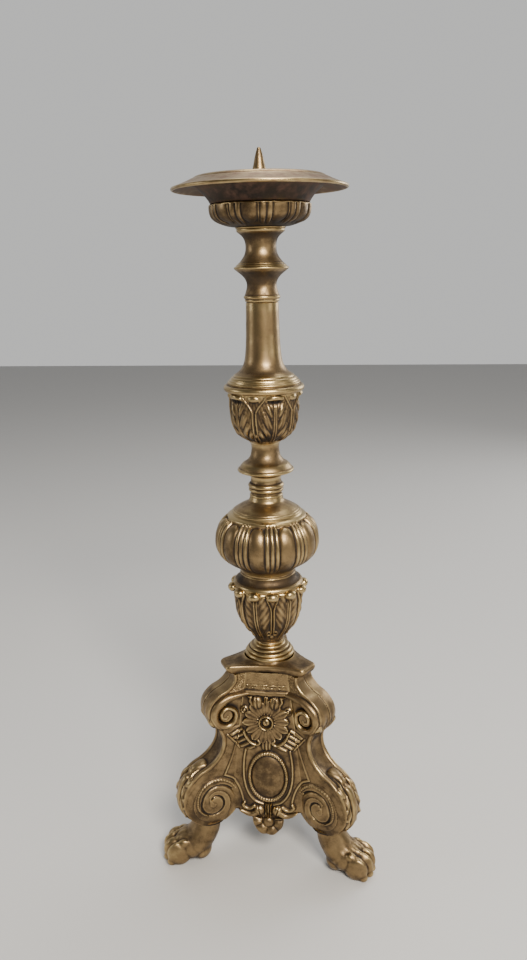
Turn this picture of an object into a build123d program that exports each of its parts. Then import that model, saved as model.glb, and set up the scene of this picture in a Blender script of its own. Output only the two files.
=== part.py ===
"""Altar candlestick: a turned stem on a three-sided scrolled base with paw feet.

Millimetres, +Z up. The origin is on the stem's axis, on the surface that the paws stand on.
The front panel of the base faces -Y. The stem's pieces are stacked on a tie rod, which hangs
from the pricket and is pulled down by a nut under a three-armed plate inside the base.
"""
import os
from math import cos, radians, sin, sqrt

from build123d import *

# ---------------------------------------------------------------- driving dimensions
# Base, in the upright plane through each corner: r is measured from the stem's axis
seat_height = 33.5            # top of the paws, where the scrolls stand on them
scroll_half_width = 9.0       # the scrolls are slabs with parallel flanks
lower_roll_radius = 22.0
lower_roll_r = 50.5
lower_roll_height = 53.5
lower_eye_radius = 7.0
upper_roll_radius = 11.5
upper_roll_r = 40.0
upper_roll_height = 120.0
upper_eye_radius = 4.5
eye_relief = 1.5
waist_r = 41.0                # outer edge of a scroll between its two rolls
waist_height = 97.0
neck_r = 31.0                 # outer edge of a scroll under the cap
scroll_top_inner_r = 14.0
ledge_height = 92.0           # the ledge that the tie spider pulls up on
ledge_inner_r = 20.5
ledge_outer_r = 25.0
scroll_foot_inner_r = 28.5

panel_foot_distance = 27.0    # axis to the outer face of a panel, at the foot height
panel_foot_height = 35.0
panel_top_distance = 18.7     # the same under the cap
panel_thickness = 4.0
panel_edge_height = 42.0      # lower edge of a panel beside its pendant
pendant_half_width = 20.0
pendant_height = 46.0
shell_radius = 10.0
shell_centre_height = 32.0
oval_half_width = 14.2
oval_half_height = 19.0
oval_centre_height = 69.0
oval_relief = 3.0
rosette_radius = 15.0
rosette_centre_height = 112.5
rosette_relief = 2.5

cap_underside = 149.0
cap_thickness = 8.0
cap_corner_r = 35.0
cap_corner_half_width = 7.9
cap_side_distance = 20.0      # axis to the middle of a concave side
cap_edge_radius = 2.6

# Paws
paw_toe_r = 87.0
paw_sole_front_r = 81.0
paw_sole_back_r = 55.0
paw_ankle_back_r = 45.0
paw_ankle_front_r = 62.0
paw_half_width = 13.0
paw_ankle_half_width = 9.5
paw_toe_height = 16.0
toe_groove_width = 1.4
stud_r = 53.0
stud_radius = 3.0
stud_in_paw = 13.0
stud_in_scroll = 12.0
dowel_r = 25.0
dowel_radius = 2.0
dowel_in_cap = 5.0
dowel_in_scroll = 7.0

# Stem: the height of each turned piece, from the cap upwards
foot_ring_height = 9.0
lower_vase_height = 46.0
waist_collar_height = 10.5
knop_height = 41.0
dome_height = 12.0
neck_ring_height = 14.5
disc_height = 24.0
upper_vase_height = 32.0
lip_height = 9.0
column_height = 51.0
spool_height = 22.3
upper_neck_height = 23.3
cup_height = 14.8

# Stem: the radii that neighbouring pieces share, and the widest radius of each piece
foot_ring_radius = 18.0
vase_foot_radius = 9.6
vase_top_radius = 25.3
vase_belly_radius = 23.4
bead_count = 12
bead_radius = 2.8
bead_ring_radius = 25.7
knop_foot_radius = 19.5
knop_radius = 36.5
knop_top_radius = 25.0
dome_top_radius = 11.1
neck_top_radius = 10.8
neck_ring_radius = 12.4
disc_radius = 19.5
disc_neck_radius = 9.3
disc_top_radius = 10.8
upper_vase_radius = 22.8
upper_vase_top_radius = 24.3
lip_radius = 27.4
column_foot_radius = 23.6
column_radius = 10.9
spool_ring_radius = 12.1
spool_neck_radius = 9.7
spool_top_radius = 18.0
upper_neck_radius = 9.9
upper_neck_top_radius = 15.6
cup_radius = 32.8

# Drip pan, from its underside
pan_seat_depth = 3.9          # how far the pan stands inside the cup's rim
pan_foot_radius = 29.9
pan_floor_thickness = 2.2
pan_shoulder_overhang = 1.6   # how far the shoulder reaches over the cup's rim
pan_throat_radius = 38.9
pan_throat_height = 13.4
pan_brim_radius = 56.2
pan_brim_height = 12.3
pan_brim_thickness = 1.8
pan_root_height = 18.4
pan_bead_radius = 2.4
pan_bead_ring_radius = 37.6
pan_height = 22.9
pan_wall = 2.1
pan_shoulder_gap = 0.3        # open height between the cup's rim and the pan's shoulder

# Pricket, rod and fasteners
spike_radius = 5.9
spike_tip_radius = 0.7
spike_height = 39.0           # from the flange's top to the tip
flange_radius = 9.0
flange_thickness = 3.0
flange_height_in_cup = 6.4    # the boss in the cup that the flange sits on
rod_radius = 4.0
rod_in_pricket = 7.5
rod_below_nut = 3.0
nut_across_flats = 13.0
nut_height = 6.5
washer_radius = 9.0
washer_thickness = 1.6
spider_thickness = 5.0
spider_hub_radius = 11.0
spider_arm_half_width = 6.0

# Fits
thread_clearance = 0.05
bore_clearance = 0.5
spigot_radius = 6.5
spigot_height = 1.5
spigot_clearance = 0.08
end_gap = 0.5
pan_seat_clearance = 0.3
cup_ledge_width = 2.8
pan_hole_clearance = 0.45
chamber_wall = 6.0

# ---------------------------------------------------------------- derived places
corners = {"left": 210, "right": 330, "rear": 90}
panels = {"front": 270, "left": 150, "right": 30}

cap_top = cap_underside + cap_thickness
foot_ring_z = cap_top
lower_vase_z = foot_ring_z + foot_ring_height
waist_collar_z = lower_vase_z + lower_vase_height
knop_z = waist_collar_z + waist_collar_height
dome_z = knop_z + knop_height
neck_ring_z = dome_z + dome_height
disc_z = neck_ring_z + neck_ring_height
upper_vase_z = disc_z + disc_height
lip_z = upper_vase_z + upper_vase_height
column_z = lip_z + lip_height
spool_z = column_z + column_height
upper_neck_z = spool_z + spool_height
cup_z = upper_neck_z + upper_neck_height
cup_top = cup_z + cup_height
pan_z = cup_top - pan_seat_depth
flange_z = cup_z + flange_height_in_cup
spike_tip_z = flange_z + flange_thickness + spike_height

bore_radius = rod_radius + bore_clearance
spider_z = ledge_height - spider_thickness
washer_z = spider_z - washer_thickness
nut_z = washer_z - nut_height
rod_bottom = nut_z - rod_below_nut
rod_top = flange_z + rod_in_pricket

bottom_up = (Align.CENTER, Align.CENTER, Align.MIN)
top_down = (Align.CENTER, Align.CENTER, Align.MAX)


def radial_plane(angle):
    """Upright plane through the stem's axis: x runs outwards at this angle, y runs up."""
    a = radians(angle)
    return Plane(origin=(0, 0, 0), x_dir=(cos(a), sin(a), 0), z_dir=(sin(a), -cos(a), 0))


def at_angle(angle, r, z):
    """The point at radius r and height z, in the direction of this angle."""
    a = radians(angle)
    return (r * cos(a), r * sin(a), z)


def drill(centre, radius, depth, align=top_down):
    """A plain hole in the part being built, down from this point, or up from it."""
    with Locations(centre):
        Cylinder(radius, depth, align=align, mode=Mode.SUBTRACT)


def fit_on_rod(bottom, top, chamber_radius=0.0, chamber_floor=chamber_wall):
    """Gives a turned piece its bore, the recess under it, the spigot on it and any chamber."""
    with Locations((0, 0, top)):
        Cylinder(spigot_radius, spigot_height, align=bottom_up)
    under = (0, 0, bottom)
    drill(under, spigot_radius + spigot_clearance, spigot_height + end_gap, bottom_up)
    drill(under, bore_radius, top + spigot_height - bottom, bottom_up)
    if chamber_radius:
        chamber_height = top - bottom - chamber_floor - chamber_wall
        drill((0, 0, bottom + chamber_floor), chamber_radius, chamber_height, bottom_up)


def finish(part, name):
    """Labels a finished piece and writes its file."""
    part.label = name
    export_step(part, f"parts/{name}.step")


os.makedirs("parts", exist_ok=True)

# ---------------------------------------------------------------- corner scrolls
for side, angle in corners.items():
    plane = radial_plane(angle)
    with BuildPart() as corner_scroll:
        with BuildSketch(plane):
            with BuildLine():
                neck = Line((neck_r, cap_underside), (neck_r, cap_underside - 6))
                shoulder_r = upper_roll_r + upper_roll_radius
                shoulder = Spline(
                    neck @ 1,
                    (upper_roll_r + 5, upper_roll_height + 14),
                    (shoulder_r, upper_roll_height + 1),
                    (waist_r, waist_height),
                    (lower_roll_r + 1, lower_roll_height + lower_roll_radius + 4),
                    (lower_roll_r + lower_roll_radius, lower_roll_height + 3),
                    tangents=((0, -1), (0, -1)),
                )
                Polyline(
                    shoulder @ 1,
                    (lower_roll_r, lower_roll_height),
                    (scroll_foot_inner_r, lower_roll_height),
                    (ledge_outer_r, ledge_height),
                    (ledge_inner_r, ledge_height),
                    (scroll_top_inner_r, cap_underside),
                    neck @ 0,
                )
            make_face()
            with Locations((lower_roll_r, lower_roll_height)):
                Circle(lower_roll_radius)
        extrude(amount=scroll_half_width, both=True)
        split(bisect_by=Plane.XY.offset(seat_height), keep=Keep.TOP)
        with BuildSketch(plane):
            with Locations((lower_roll_r, lower_roll_height)):
                Circle(lower_eye_radius)
            with Locations((upper_roll_r, upper_roll_height)):
                Circle(upper_eye_radius)
        extrude(amount=scroll_half_width + eye_relief, both=True)
        drill(
            at_angle(angle, stud_r, seat_height),
            stud_radius + thread_clearance,
            stud_in_scroll + end_gap,
            bottom_up,
        )
        drill(
            at_angle(angle, dowel_r, cap_underside),
            dowel_radius + thread_clearance,
            dowel_in_scroll + end_gap,
        )
    finish(corner_scroll.part, f"corner_scroll_{side}")

# ---------------------------------------------------------------- side panels
lean_run = panel_foot_distance - panel_top_distance
lean_rise = cap_underside - panel_foot_height


def panel_distance(height):
    """Axis to the outer face of a panel at this height."""
    return panel_foot_distance - lean_run * (height - panel_foot_height) / lean_rise


for side, angle in panels.items():
    out = at_angle(angle, 1, 0)
    sideways = Vector(-out[1], out[0], 0)
    outward = Vector(out[0] * lean_rise, out[1] * lean_rise, lean_run).normalized()
    slope = sqrt(lean_run**2 + lean_rise**2) / lean_rise
    face = Plane(
        origin=at_angle(angle, panel_distance(0), 0), x_dir=sideways, z_dir=outward
    )
    with BuildPart() as side_panel:
        with BuildSketch(face):
            with BuildLine():
                reach = lower_roll_r
                Polyline(
                    (reach, panel_edge_height * slope),
                    (pendant_half_width, panel_edge_height * slope),
                    (shell_radius, shell_centre_height * slope),
                    (-shell_radius, shell_centre_height * slope),
                    (-pendant_half_width, panel_edge_height * slope),
                    (-reach, panel_edge_height * slope),
                    (-reach, (cap_underside + 5) * slope),
                    (reach, (cap_underside + 5) * slope),
                    close=True,
                )
            make_face()
            with Locations((0, shell_centre_height * slope)):
                Circle(shell_radius)
        extrude(amount=-panel_thickness)
        with BuildSketch(face):
            with Locations((0, oval_centre_height * slope)):
                Ellipse(oval_half_width, oval_half_height)
        extrude(amount=oval_relief, taper=35)
        with BuildSketch(face):
            with Locations((0, rosette_centre_height * slope)):
                Circle(rosette_radius)
        extrude(amount=rosette_relief, taper=35)
        split(bisect_by=Plane.XY.offset(cap_underside), keep=Keep.BOTTOM)
        for turn in (-60, 60):
            corner = radial_plane(angle + turn)
            inner_flank = corner.offset(scroll_half_width * (-1 if turn < 0 else 1))
            split(bisect_by=inner_flank, keep=Keep.BOTTOM if turn < 0 else Keep.TOP)
    finish(side_panel.part, f"side_panel_{side}")

# ---------------------------------------------------------------- paws
toe_width = 2 * paw_half_width / 4
for side, angle in corners.items():
    plane = radial_plane(angle)
    a = radians(angle)
    floor = Plane(origin=(0, 0, 0), x_dir=(cos(a), sin(a), 0), z_dir=(0, 0, 1))
    with BuildPart() as paw:
        with BuildSketch(plane):
            with BuildLine():
                sole = Line((paw_sole_back_r, 0), (paw_sole_front_r, 0))
                toes = Spline(
                    sole @ 1,
                    (paw_toe_r, paw_toe_height * 0.4),
                    (paw_toe_r - 6, paw_toe_height),
                    (paw_ankle_front_r, seat_height),
                    tangents=((1, 0), (-0.8, 1)),
                )
                seat = Line(toes @ 1, (paw_ankle_back_r, seat_height))
                Spline(
                    seat @ 1,
                    (paw_ankle_back_r + 2, seat_height * 0.6),
                    (paw_sole_back_r - 3, seat_height * 0.2),
                    sole @ 0,
                )
            make_face()
        extrude(amount=paw_half_width, both=True)
        with BuildSketch(floor):
            with BuildLine():
                ball_r = paw_sole_front_r - paw_half_width / 2
                right_edge = Spline(
                    (paw_ankle_back_r - 1, -paw_ankle_half_width + 2),
                    (paw_ankle_front_r, -paw_ankle_half_width - 1),
                    (ball_r, -paw_half_width),
                    (paw_toe_r + 1, -paw_half_width * 0.55),
                )
                Line(right_edge @ 1, (paw_toe_r + 1, paw_half_width * 0.55))
                left_edge = Spline(
                    (paw_toe_r + 1, paw_half_width * 0.55),
                    (ball_r, paw_half_width),
                    (paw_ankle_front_r, paw_ankle_half_width + 1),
                    (paw_ankle_back_r - 1, paw_ankle_half_width - 2),
                )
                Line(left_edge @ 1, right_edge @ 0)
            make_face()
        extrude(amount=seat_height, mode=Mode.INTERSECT)
        with BuildSketch(floor.offset(paw_toe_height)):
            for groove in (-1, 0, 1):
                with Locations((paw_toe_r, groove * toe_width)):
                    Rectangle(2 * (paw_toe_r - ball_r), toe_groove_width)
        extrude(amount=-paw_toe_height * 0.7, mode=Mode.SUBTRACT)
        drill(
            at_angle(angle, stud_r, seat_height),
            stud_radius + thread_clearance,
            stud_in_paw + end_gap,
        )
    finish(paw.part, f"paw_{side}")

with BuildPart() as paw_studs:
    for angle in corners.values():
        with Locations(at_angle(angle, stud_r, seat_height - stud_in_paw)):
            Cylinder(stud_radius, stud_in_paw + stud_in_scroll, align=bottom_up)
finish(paw_studs.part, "paw_studs")

# ---------------------------------------------------------------- base cap
with BuildPart() as base_cap:
    with BuildSketch(Plane.XY.offset(cap_underside)):
        with BuildLine():
            for angle in corners.values():
                c, s = cos(radians(angle)), sin(radians(angle))
                w = cap_corner_half_width
                first = (cap_corner_r * c + w * s, cap_corner_r * s - w * c)
                last = (cap_corner_r * c - w * s, cap_corner_r * s + w * c)
                Line(first, last)
                n = angle + 120
                cn, sn = cos(radians(n)), sin(radians(n))
                following = (cap_corner_r * cn + w * sn, cap_corner_r * sn - w * cn)
                middle = at_angle(angle + 60, cap_side_distance, 0)
                ThreePointArc(last, middle[:2], following)
        make_face()
    extrude(amount=cap_thickness)
    fillet(faces().sort_by(Axis.Z)[-1].edges(), cap_edge_radius)
    fillet(faces().sort_by(Axis.Z)[0].edges(), cap_edge_radius / 2)
    with Locations((0, 0, cap_top)):
        Cylinder(spigot_radius, spigot_height, align=bottom_up)
    drill((0, 0, cap_underside), bore_radius, cap_thickness + spigot_height, bottom_up)
    for angle in corners.values():
        drill(
            at_angle(angle, dowel_r, cap_underside),
            dowel_radius + thread_clearance,
            dowel_in_cap + end_gap,
            bottom_up,
        )
finish(base_cap.part, "base_cap")

with BuildPart() as cap_dowels:
    for angle in corners.values():
        with Locations(at_angle(angle, dowel_r, cap_underside - dowel_in_scroll)):
            Cylinder(dowel_radius, dowel_in_scroll + dowel_in_cap, align=bottom_up)
finish(cap_dowels.part, "cap_dowels")

# ---------------------------------------------------------------- stem
with BuildPart() as foot_ring:
    with BuildSketch(Plane.XZ):
        with BuildLine():
            step = (foot_ring_radius - vase_foot_radius) / 3
            rise = foot_ring_height / 3
            lowest = Line((foot_ring_radius, foot_ring_z), (foot_ring_radius, foot_ring_z + 1))
            edge = lowest @ 1
            for tread in (1, 2, 3):
                r = foot_ring_radius - tread * step
                z = foot_ring_z + tread * rise
                curve = RadiusArc(edge, (r, z), -1.2 * max(step, rise))
                edge = curve @ 1
            Polyline(edge, (0, lower_vase_z), (0, foot_ring_z), lowest @ 0)
        make_face()
    revolve(axis=Axis.Z)
    fit_on_rod(foot_ring_z, lower_vase_z)
finish(foot_ring.part, "foot_ring")

with BuildPart() as lower_vase:
    with BuildSketch(Plane.XZ):
        with BuildLine():
            z = lower_vase_z
            bead_z = z + lower_vase_height - bead_radius - 2.2
            belly = Spline(
                (vase_foot_radius, z),
                (vase_foot_radius + 3.6, z + 7.2),
                (vase_belly_radius - 3, z + 18.5),
                (vase_belly_radius, z + 29),
                (bead_ring_radius - 1, bead_z),
            )
            shoulder = ThreePointArc(
                belly @ 1,
                (bead_ring_radius - 1.6, bead_z + bead_radius),
                (vase_top_radius, z + lower_vase_height),
            )
            Polyline(shoulder @ 1, (0, z + lower_vase_height), (0, z), belly @ 0)
        make_face()
    revolve(axis=Axis.Z)
    with Locations((0, 0, bead_z)):
        with PolarLocations(bead_ring_radius, bead_count):
            Sphere(bead_radius)
    fit_on_rod(lower_vase_z, waist_collar_z, vase_belly_radius - 2 * chamber_wall, 20)
finish(lower_vase.part, "lower_vase")

with BuildPart() as waist_collar:
    with BuildSketch(Plane.XZ):
        with BuildLine():
            z = waist_collar_z
            edge = Line((vase_top_radius, z), (vase_top_radius, z + 0.8))
            hollow = ThreePointArc(
                edge @ 1,
                (knop_foot_radius + 1.1, z + waist_collar_height / 2),
                (knop_foot_radius, z + waist_collar_height),
            )
            Polyline(hollow @ 1, (0, knop_z), (0, z), edge @ 0)
        make_face()
    revolve(axis=Axis.Z)
    fit_on_rod(waist_collar_z, knop_z)
finish(waist_collar.part, "waist_collar")

with BuildPart() as gadrooned_knop:
    with BuildSketch(Plane.XZ):
        with BuildLine():
            z = knop_z
            belly = Spline(
                (knop_foot_radius, z),
                (knop_radius - 6.5, z + knop_height * 0.2),
                (knop_radius, z + knop_height * 0.52),
                (knop_radius - 4.1, z + knop_height * 0.85),
                (knop_top_radius, z + knop_height),
            )
            Polyline(belly @ 1, (0, z + knop_height), (0, z), belly @ 0)
        make_face()
    revolve(axis=Axis.Z)
    fit_on_rod(knop_z, dome_z, knop_radius - 2 * chamber_wall, 8)
finish(gadrooned_knop.part, "gadrooned_knop")

with BuildPart() as knop_dome:
    with BuildSketch(Plane.XZ):
        with BuildLine():
            z = dome_z
            ring = Line((knop_top_radius, z), (knop_top_radius, z + 1))
            fall = Spline(
                ring @ 1,
                (knop_top_radius - 5.2, z + dome_height * 0.34),
                (dome_top_radius + 2.6, z + dome_height * 0.62),
                (dome_top_radius, z + dome_height),
            )
            Polyline(fall @ 1, (0, z + dome_height), (0, z), ring @ 0)
        make_face()
    revolve(axis=Axis.Z)
    fit_on_rod(dome_z, neck_ring_z)
finish(knop_dome.part, "knop_dome")

with BuildPart() as neck_ring:
    with BuildSketch(Plane.XZ):
        with BuildLine():
            z = neck_ring_z
            lower = Line((dome_top_radius, z), (neck_top_radius, z + 3.3))
            ring = ThreePointArc(
                lower @ 1,
                (neck_ring_radius, z + neck_ring_height * 0.45),
                (neck_top_radius - 0.5, z + neck_ring_height * 0.72),
            )
            Polyline(
                ring @ 1,
                (neck_top_radius, z + neck_ring_height),
                (0, z + neck_ring_height),
                (0, z),
                lower @ 0,
            )
        make_face()
    revolve(axis=Axis.Z)
    fit_on_rod(neck_ring_z, disc_z)
finish(neck_ring.part, "neck_ring")

with BuildPart() as stem_disc:
    with BuildSketch(Plane.XZ):
        with BuildLine():
            z = disc_z
            under = ThreePointArc(
                (neck_top_radius, z),
                ((neck_top_radius + disc_radius) / 2, z + 1.6),
                (disc_radius - 0.4, z + 3.2),
            )
            rim = ThreePointArc(
                under @ 1,
                (disc_radius, z + 4.4),
                (disc_radius - 0.9, z + 5.8),
            )
            spool = Spline(
                rim @ 1,
                (disc_neck_radius + 5, z + disc_height * 0.41),
                (disc_neck_radius, z + disc_height * 0.78),
                (disc_top_radius, z + disc_height),
            )
            Polyline(spool @ 1, (0, z + disc_height), (0, z), under @ 0)
        make_face()
    revolve(axis=Axis.Z)
    fit_on_rod(disc_z, upper_vase_z)
finish(stem_disc.part, "stem_disc")

with BuildPart() as upper_vase:
    with BuildSketch(Plane.XZ):
        with BuildLine():
            z = upper_vase_z
            belly = Spline(
                (disc_top_radius, z),
                (upper_vase_radius - 4, z + 7.3),
                (upper_vase_radius - 0.9, z + 14.2),
                (upper_vase_radius + 0.3, z + 27.8),
                (upper_vase_top_radius, z + upper_vase_height),
            )
            Polyline(belly @ 1, (0, z + upper_vase_height), (0, z), belly @ 0)
        make_face()
    revolve(axis=Axis.Z)
    fit_on_rod(upper_vase_z, lip_z, upper_vase_radius - chamber_wall - 3)
finish(upper_vase.part, "upper_vase")

with BuildPart() as vase_lip:
    with BuildSketch(Plane.XZ):
        with BuildLine():
            z = lip_z
            ring = ThreePointArc(
                (upper_vase_top_radius, z),
                (lip_radius, z + lip_height * 0.45),
                (upper_vase_top_radius, z + lip_height * 0.82),
            )
            Polyline(
                ring @ 1,
                (column_foot_radius, z + lip_height),
                (0, z + lip_height),
                (0, z),
                ring @ 0,
            )
        make_face()
    revolve(axis=Axis.Z)
    fit_on_rod(lip_z, column_z)
finish(vase_lip.part, "vase_lip")

with BuildPart() as column:
    with BuildSketch(Plane.XZ):
        with BuildLine():
            z = column_z
            flare = Spline(
                (column_foot_radius, z),
                (column_foot_radius - 5, z + 4.9),
                (column_radius + 2.7, z + 10.2),
                (column_radius + 0.8, z + 20),
                (column_radius, z + column_height * 0.65),
                tangents=((-0.35, 1), (0, 1)),
            )
            Polyline(
                flare @ 1,
                (column_radius - 0.2, z + column_height),
                (0, z + column_height),
                (0, z),
                flare @ 0,
            )
        make_face()
    revolve(axis=Axis.Z)
    fit_on_rod(column_z, spool_z)
finish(column.part, "column")

with BuildPart() as top_spool:
    with BuildSketch(Plane.XZ):
        with BuildLine():
            z = spool_z
            ring = ThreePointArc(
                (column_radius - 0.2, z),
                (spool_ring_radius, z + spool_height * 0.16),
                (spool_ring_radius - 1.3, z + spool_height * 0.29),
            )
            flare = Spline(
                ring @ 1,
                (spool_neck_radius, z + spool_height * 0.47),
                (spool_neck_radius + 3.2, z + spool_height * 0.76),
                (spool_top_radius, z + spool_height - 1),
            )
            Polyline(
                flare @ 1,
                (spool_top_radius, z + spool_height),
                (0, z + spool_height),
                (0, z),
                ring @ 0,
            )
        make_face()
    revolve(axis=Axis.Z)
    fit_on_rod(spool_z, upper_neck_z)
finish(top_spool.part, "top_spool")

with BuildPart() as upper_neck:
    with BuildSketch(Plane.XZ):
        with BuildLine():
            z = upper_neck_z
            spool = Spline(
                (spool_top_radius, z),
                (upper_neck_radius + 3.2, z + upper_neck_height * 0.23),
                (upper_neck_radius, z + upper_neck_height * 0.49),
                (upper_neck_radius + 1.6, z + upper_neck_height * 0.78),
                (upper_neck_top_radius, z + upper_neck_height - 1.5),
            )
            Polyline(
                spool @ 1,
                (upper_neck_top_radius, z + upper_neck_height),
                (0, z + upper_neck_height),
                (0, z),
                spool @ 0,
            )
        make_face()
    revolve(axis=Axis.Z)
    fit_on_rod(upper_neck_z, cup_z)
finish(upper_neck.part, "upper_neck")

# ---------------------------------------------------------------- cup, pan and pricket
pan_shoulder_radius = pan_foot_radius + pan_shoulder_overhang
cup_rim_inner_radius = pan_foot_radius + pan_seat_clearance
cup_ledge_inner_radius = cup_rim_inner_radius - cup_ledge_width
with BuildPart() as cup:
    with BuildSketch(Plane.XZ):
        with BuildLine():
            z = cup_z
            bowl = Spline(
                (upper_neck_top_radius, z),
                (cup_radius - 10, z + 1.9),
                (cup_radius - 3.4, z + 4.8),
                (cup_radius - 0.5, z + 8.2),
                (cup_radius, z + 11.8),
            )
            Polyline(
                bowl @ 1,
                (cup_radius, cup_top),
                (cup_rim_inner_radius, cup_top),
                (cup_rim_inner_radius, pan_z),
                (cup_ledge_inner_radius, pan_z),
                (cup_ledge_inner_radius, z + 8),
                (cup_radius - 12, z + 5),
                (flange_radius, z + 5),
                (flange_radius, flange_z),
                (0, flange_z),
                (0, z),
                bowl @ 0,
            )
        make_face()
    revolve(axis=Axis.Z)
    drill((0, 0, z), spigot_radius + spigot_clearance, spigot_height + end_gap, bottom_up)
    drill((0, 0, z), bore_radius, cup_height, bottom_up)
finish(cup.part, "cup")

with BuildPart() as drip_pan:
    with BuildSketch(Plane.XZ):
        with BuildLine():
            z = pan_z
            shoulder_z = cup_top + pan_shoulder_gap
            root_r = pan_throat_radius + 3
            hole = spike_radius + pan_hole_clearance
            foot = Polyline(
                (hole, z),
                (pan_foot_radius, z),
                (pan_foot_radius, shoulder_z),
                (pan_shoulder_radius, shoulder_z),
            )
            throat = ThreePointArc(
                foot @ 1,
                (pan_shoulder_radius + 3.3, z + pan_throat_height - 4),
                (pan_throat_radius, z + pan_throat_height),
            )
            under = Polyline(
                throat @ 1,
                (root_r, z + pan_root_height),
                (pan_brim_radius - 1.4, z + pan_brim_height),
            )
            brim_edge = ThreePointArc(
                under @ 1,
                (pan_brim_radius, z + pan_brim_height + 0.6),
                (pan_brim_radius - 0.6, z + pan_brim_height + pan_brim_thickness),
            )
            bead_z = z + pan_height - pan_bead_radius
            brim = Polyline(
                brim_edge @ 1,
                (pan_bead_ring_radius + 5.5, z + pan_root_height + pan_brim_thickness),
                (pan_bead_ring_radius + pan_bead_radius, bead_z),
            )
            bead = ThreePointArc(
                brim @ 1,
                (pan_bead_ring_radius, z + pan_height),
                (pan_bead_ring_radius - pan_bead_radius, bead_z),
            )
            well = Spline(
                bead @ 1,
                (pan_shoulder_radius + 3.3 - pan_wall, z + pan_throat_height - 3),
                (pan_foot_radius - pan_wall, z + pan_floor_thickness),
            )
            Polyline(well @ 1, (hole, z + pan_floor_thickness), foot @ 0)
        make_face()
    revolve(axis=Axis.Z)
finish(drip_pan.part, "drip_pan")

with BuildPart() as pricket:
    with Locations((0, 0, flange_z)):
        Cylinder(flange_radius, flange_thickness, align=bottom_up)
    with BuildSketch(Plane.XZ):
        with BuildLine():
            z = flange_z + flange_thickness
            side = Spline(
                (spike_radius, z),
                (spike_radius * 0.9, z + spike_height * 0.2),
                (spike_radius * 0.59, z + spike_height * 0.7),
                (spike_radius * 0.3, z + spike_height * 0.93),
                (spike_tip_radius, spike_tip_z),
            )
            Polyline(side @ 1, (0, spike_tip_z), (0, z), side @ 0)
        make_face()
    revolve(axis=Axis.Z)
    rod_hole = rod_radius + thread_clearance
    drill((0, 0, flange_z), rod_hole, rod_in_pricket + end_gap, bottom_up)
finish(pricket.part, "pricket")

# ---------------------------------------------------------------- tie rod and fasteners
with BuildPart() as tie_rod:
    with Locations((0, 0, rod_bottom)):
        Cylinder(rod_radius, rod_top - rod_bottom, align=bottom_up)
    chamfer(edges().filter_by(GeomType.CIRCLE), rod_radius / 5)
finish(tie_rod.part, "tie_rod")

with BuildPart() as tie_spider:
    with Locations((0, 0, spider_z)):
        Cylinder(spider_hub_radius, spider_thickness, align=bottom_up)
    arm_reach = ledge_outer_r - end_gap
    for angle in corners.values():
        a = radians(angle)
        arm_plane = Plane((0, 0, spider_z), x_dir=(cos(a), sin(a), 0), z_dir=(0, 0, 1))
        with BuildSketch(arm_plane):
            with Locations((arm_reach / 2, 0)):
                Rectangle(arm_reach, 2 * spider_arm_half_width)
        extrude(amount=spider_thickness)
    drill((0, 0, spider_z), bore_radius, spider_thickness, bottom_up)
finish(tie_spider.part, "tie_spider")

with BuildPart() as tie_washer:
    with Locations((0, 0, washer_z)):
        Cylinder(washer_radius, washer_thickness, align=bottom_up)
    drill((0, 0, washer_z), bore_radius, washer_thickness, bottom_up)
finish(tie_washer.part, "tie_washer")

with BuildPart() as tie_nut:
    with BuildSketch(Plane.XY.offset(nut_z)):
        RegularPolygon(nut_across_flats / 2, 6, major_radius=False)
        Circle(rod_radius + thread_clearance, mode=Mode.SUBTRACT)
    extrude(amount=nut_height)
finish(tie_nut.part, "tie_nut")
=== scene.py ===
# %% [markdown]
# # A brass altar candlestick
# The candlestick is a stack of hollow brass castings on an iron rod. The plain ones were finished on a
# lathe, and the ornamented ones come straight from the mould, with only their high spots polished.
# The frame holds every piece at its true size, and each cell below gives one of them its real surface.

# %% Load the frame
from contextlib import contextmanager
from math import atan2, cos, pi, radians, sin, sqrt, tau

import bmesh
import bpy
import numpy as np
from mathutils import Matrix, Vector


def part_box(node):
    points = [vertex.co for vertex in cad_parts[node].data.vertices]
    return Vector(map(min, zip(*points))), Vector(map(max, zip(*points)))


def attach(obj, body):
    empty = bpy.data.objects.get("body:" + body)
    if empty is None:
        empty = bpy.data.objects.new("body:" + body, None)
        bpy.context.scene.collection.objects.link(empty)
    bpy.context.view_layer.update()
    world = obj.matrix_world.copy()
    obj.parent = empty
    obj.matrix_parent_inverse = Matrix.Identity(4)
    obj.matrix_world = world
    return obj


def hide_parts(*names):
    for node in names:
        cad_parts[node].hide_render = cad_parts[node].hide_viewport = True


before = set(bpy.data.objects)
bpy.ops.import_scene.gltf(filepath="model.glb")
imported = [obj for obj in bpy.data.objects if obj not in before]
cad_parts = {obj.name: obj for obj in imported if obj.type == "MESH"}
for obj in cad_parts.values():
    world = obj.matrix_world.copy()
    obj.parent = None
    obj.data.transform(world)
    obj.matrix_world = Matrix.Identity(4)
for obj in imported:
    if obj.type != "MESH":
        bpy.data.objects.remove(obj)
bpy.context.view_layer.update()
MM = 0.001
COS_30 = sqrt(0.75)
print("pieces in the frame:", len(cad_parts))

# %% [markdown]
# Heights come from the frame. Each stem piece stands on the one below it, so the bottom of the next
# piece is the top of this one, and the short spigot that locks them stays out of sight.

# %% Heights of the stacked pieces, in millimetres
STACK = [
    "base_cap", "foot_ring", "lower_vase", "waist_collar", "gadrooned_knop", "knop_dome", "neck_ring",
    "stem_disc", "upper_vase", "vase_lip", "column", "top_spool", "upper_neck", "cup",
]


def low(node):
    """The lowest point of a node, in millimetres."""
    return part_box(node)[0].z / MM


def high(node):
    """The highest point of a node, in millimetres."""
    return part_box(node)[1].z / MM


FLOOR = {name: low(name) for name in STACK}
CEILING = {name: FLOOR[above] for name, above in zip(STACK, STACK[1:])}
CEILING["cup"] = high("cup")
print("stem stack:", {name: round(z, 1) for name, z in FLOOR.items()})

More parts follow.
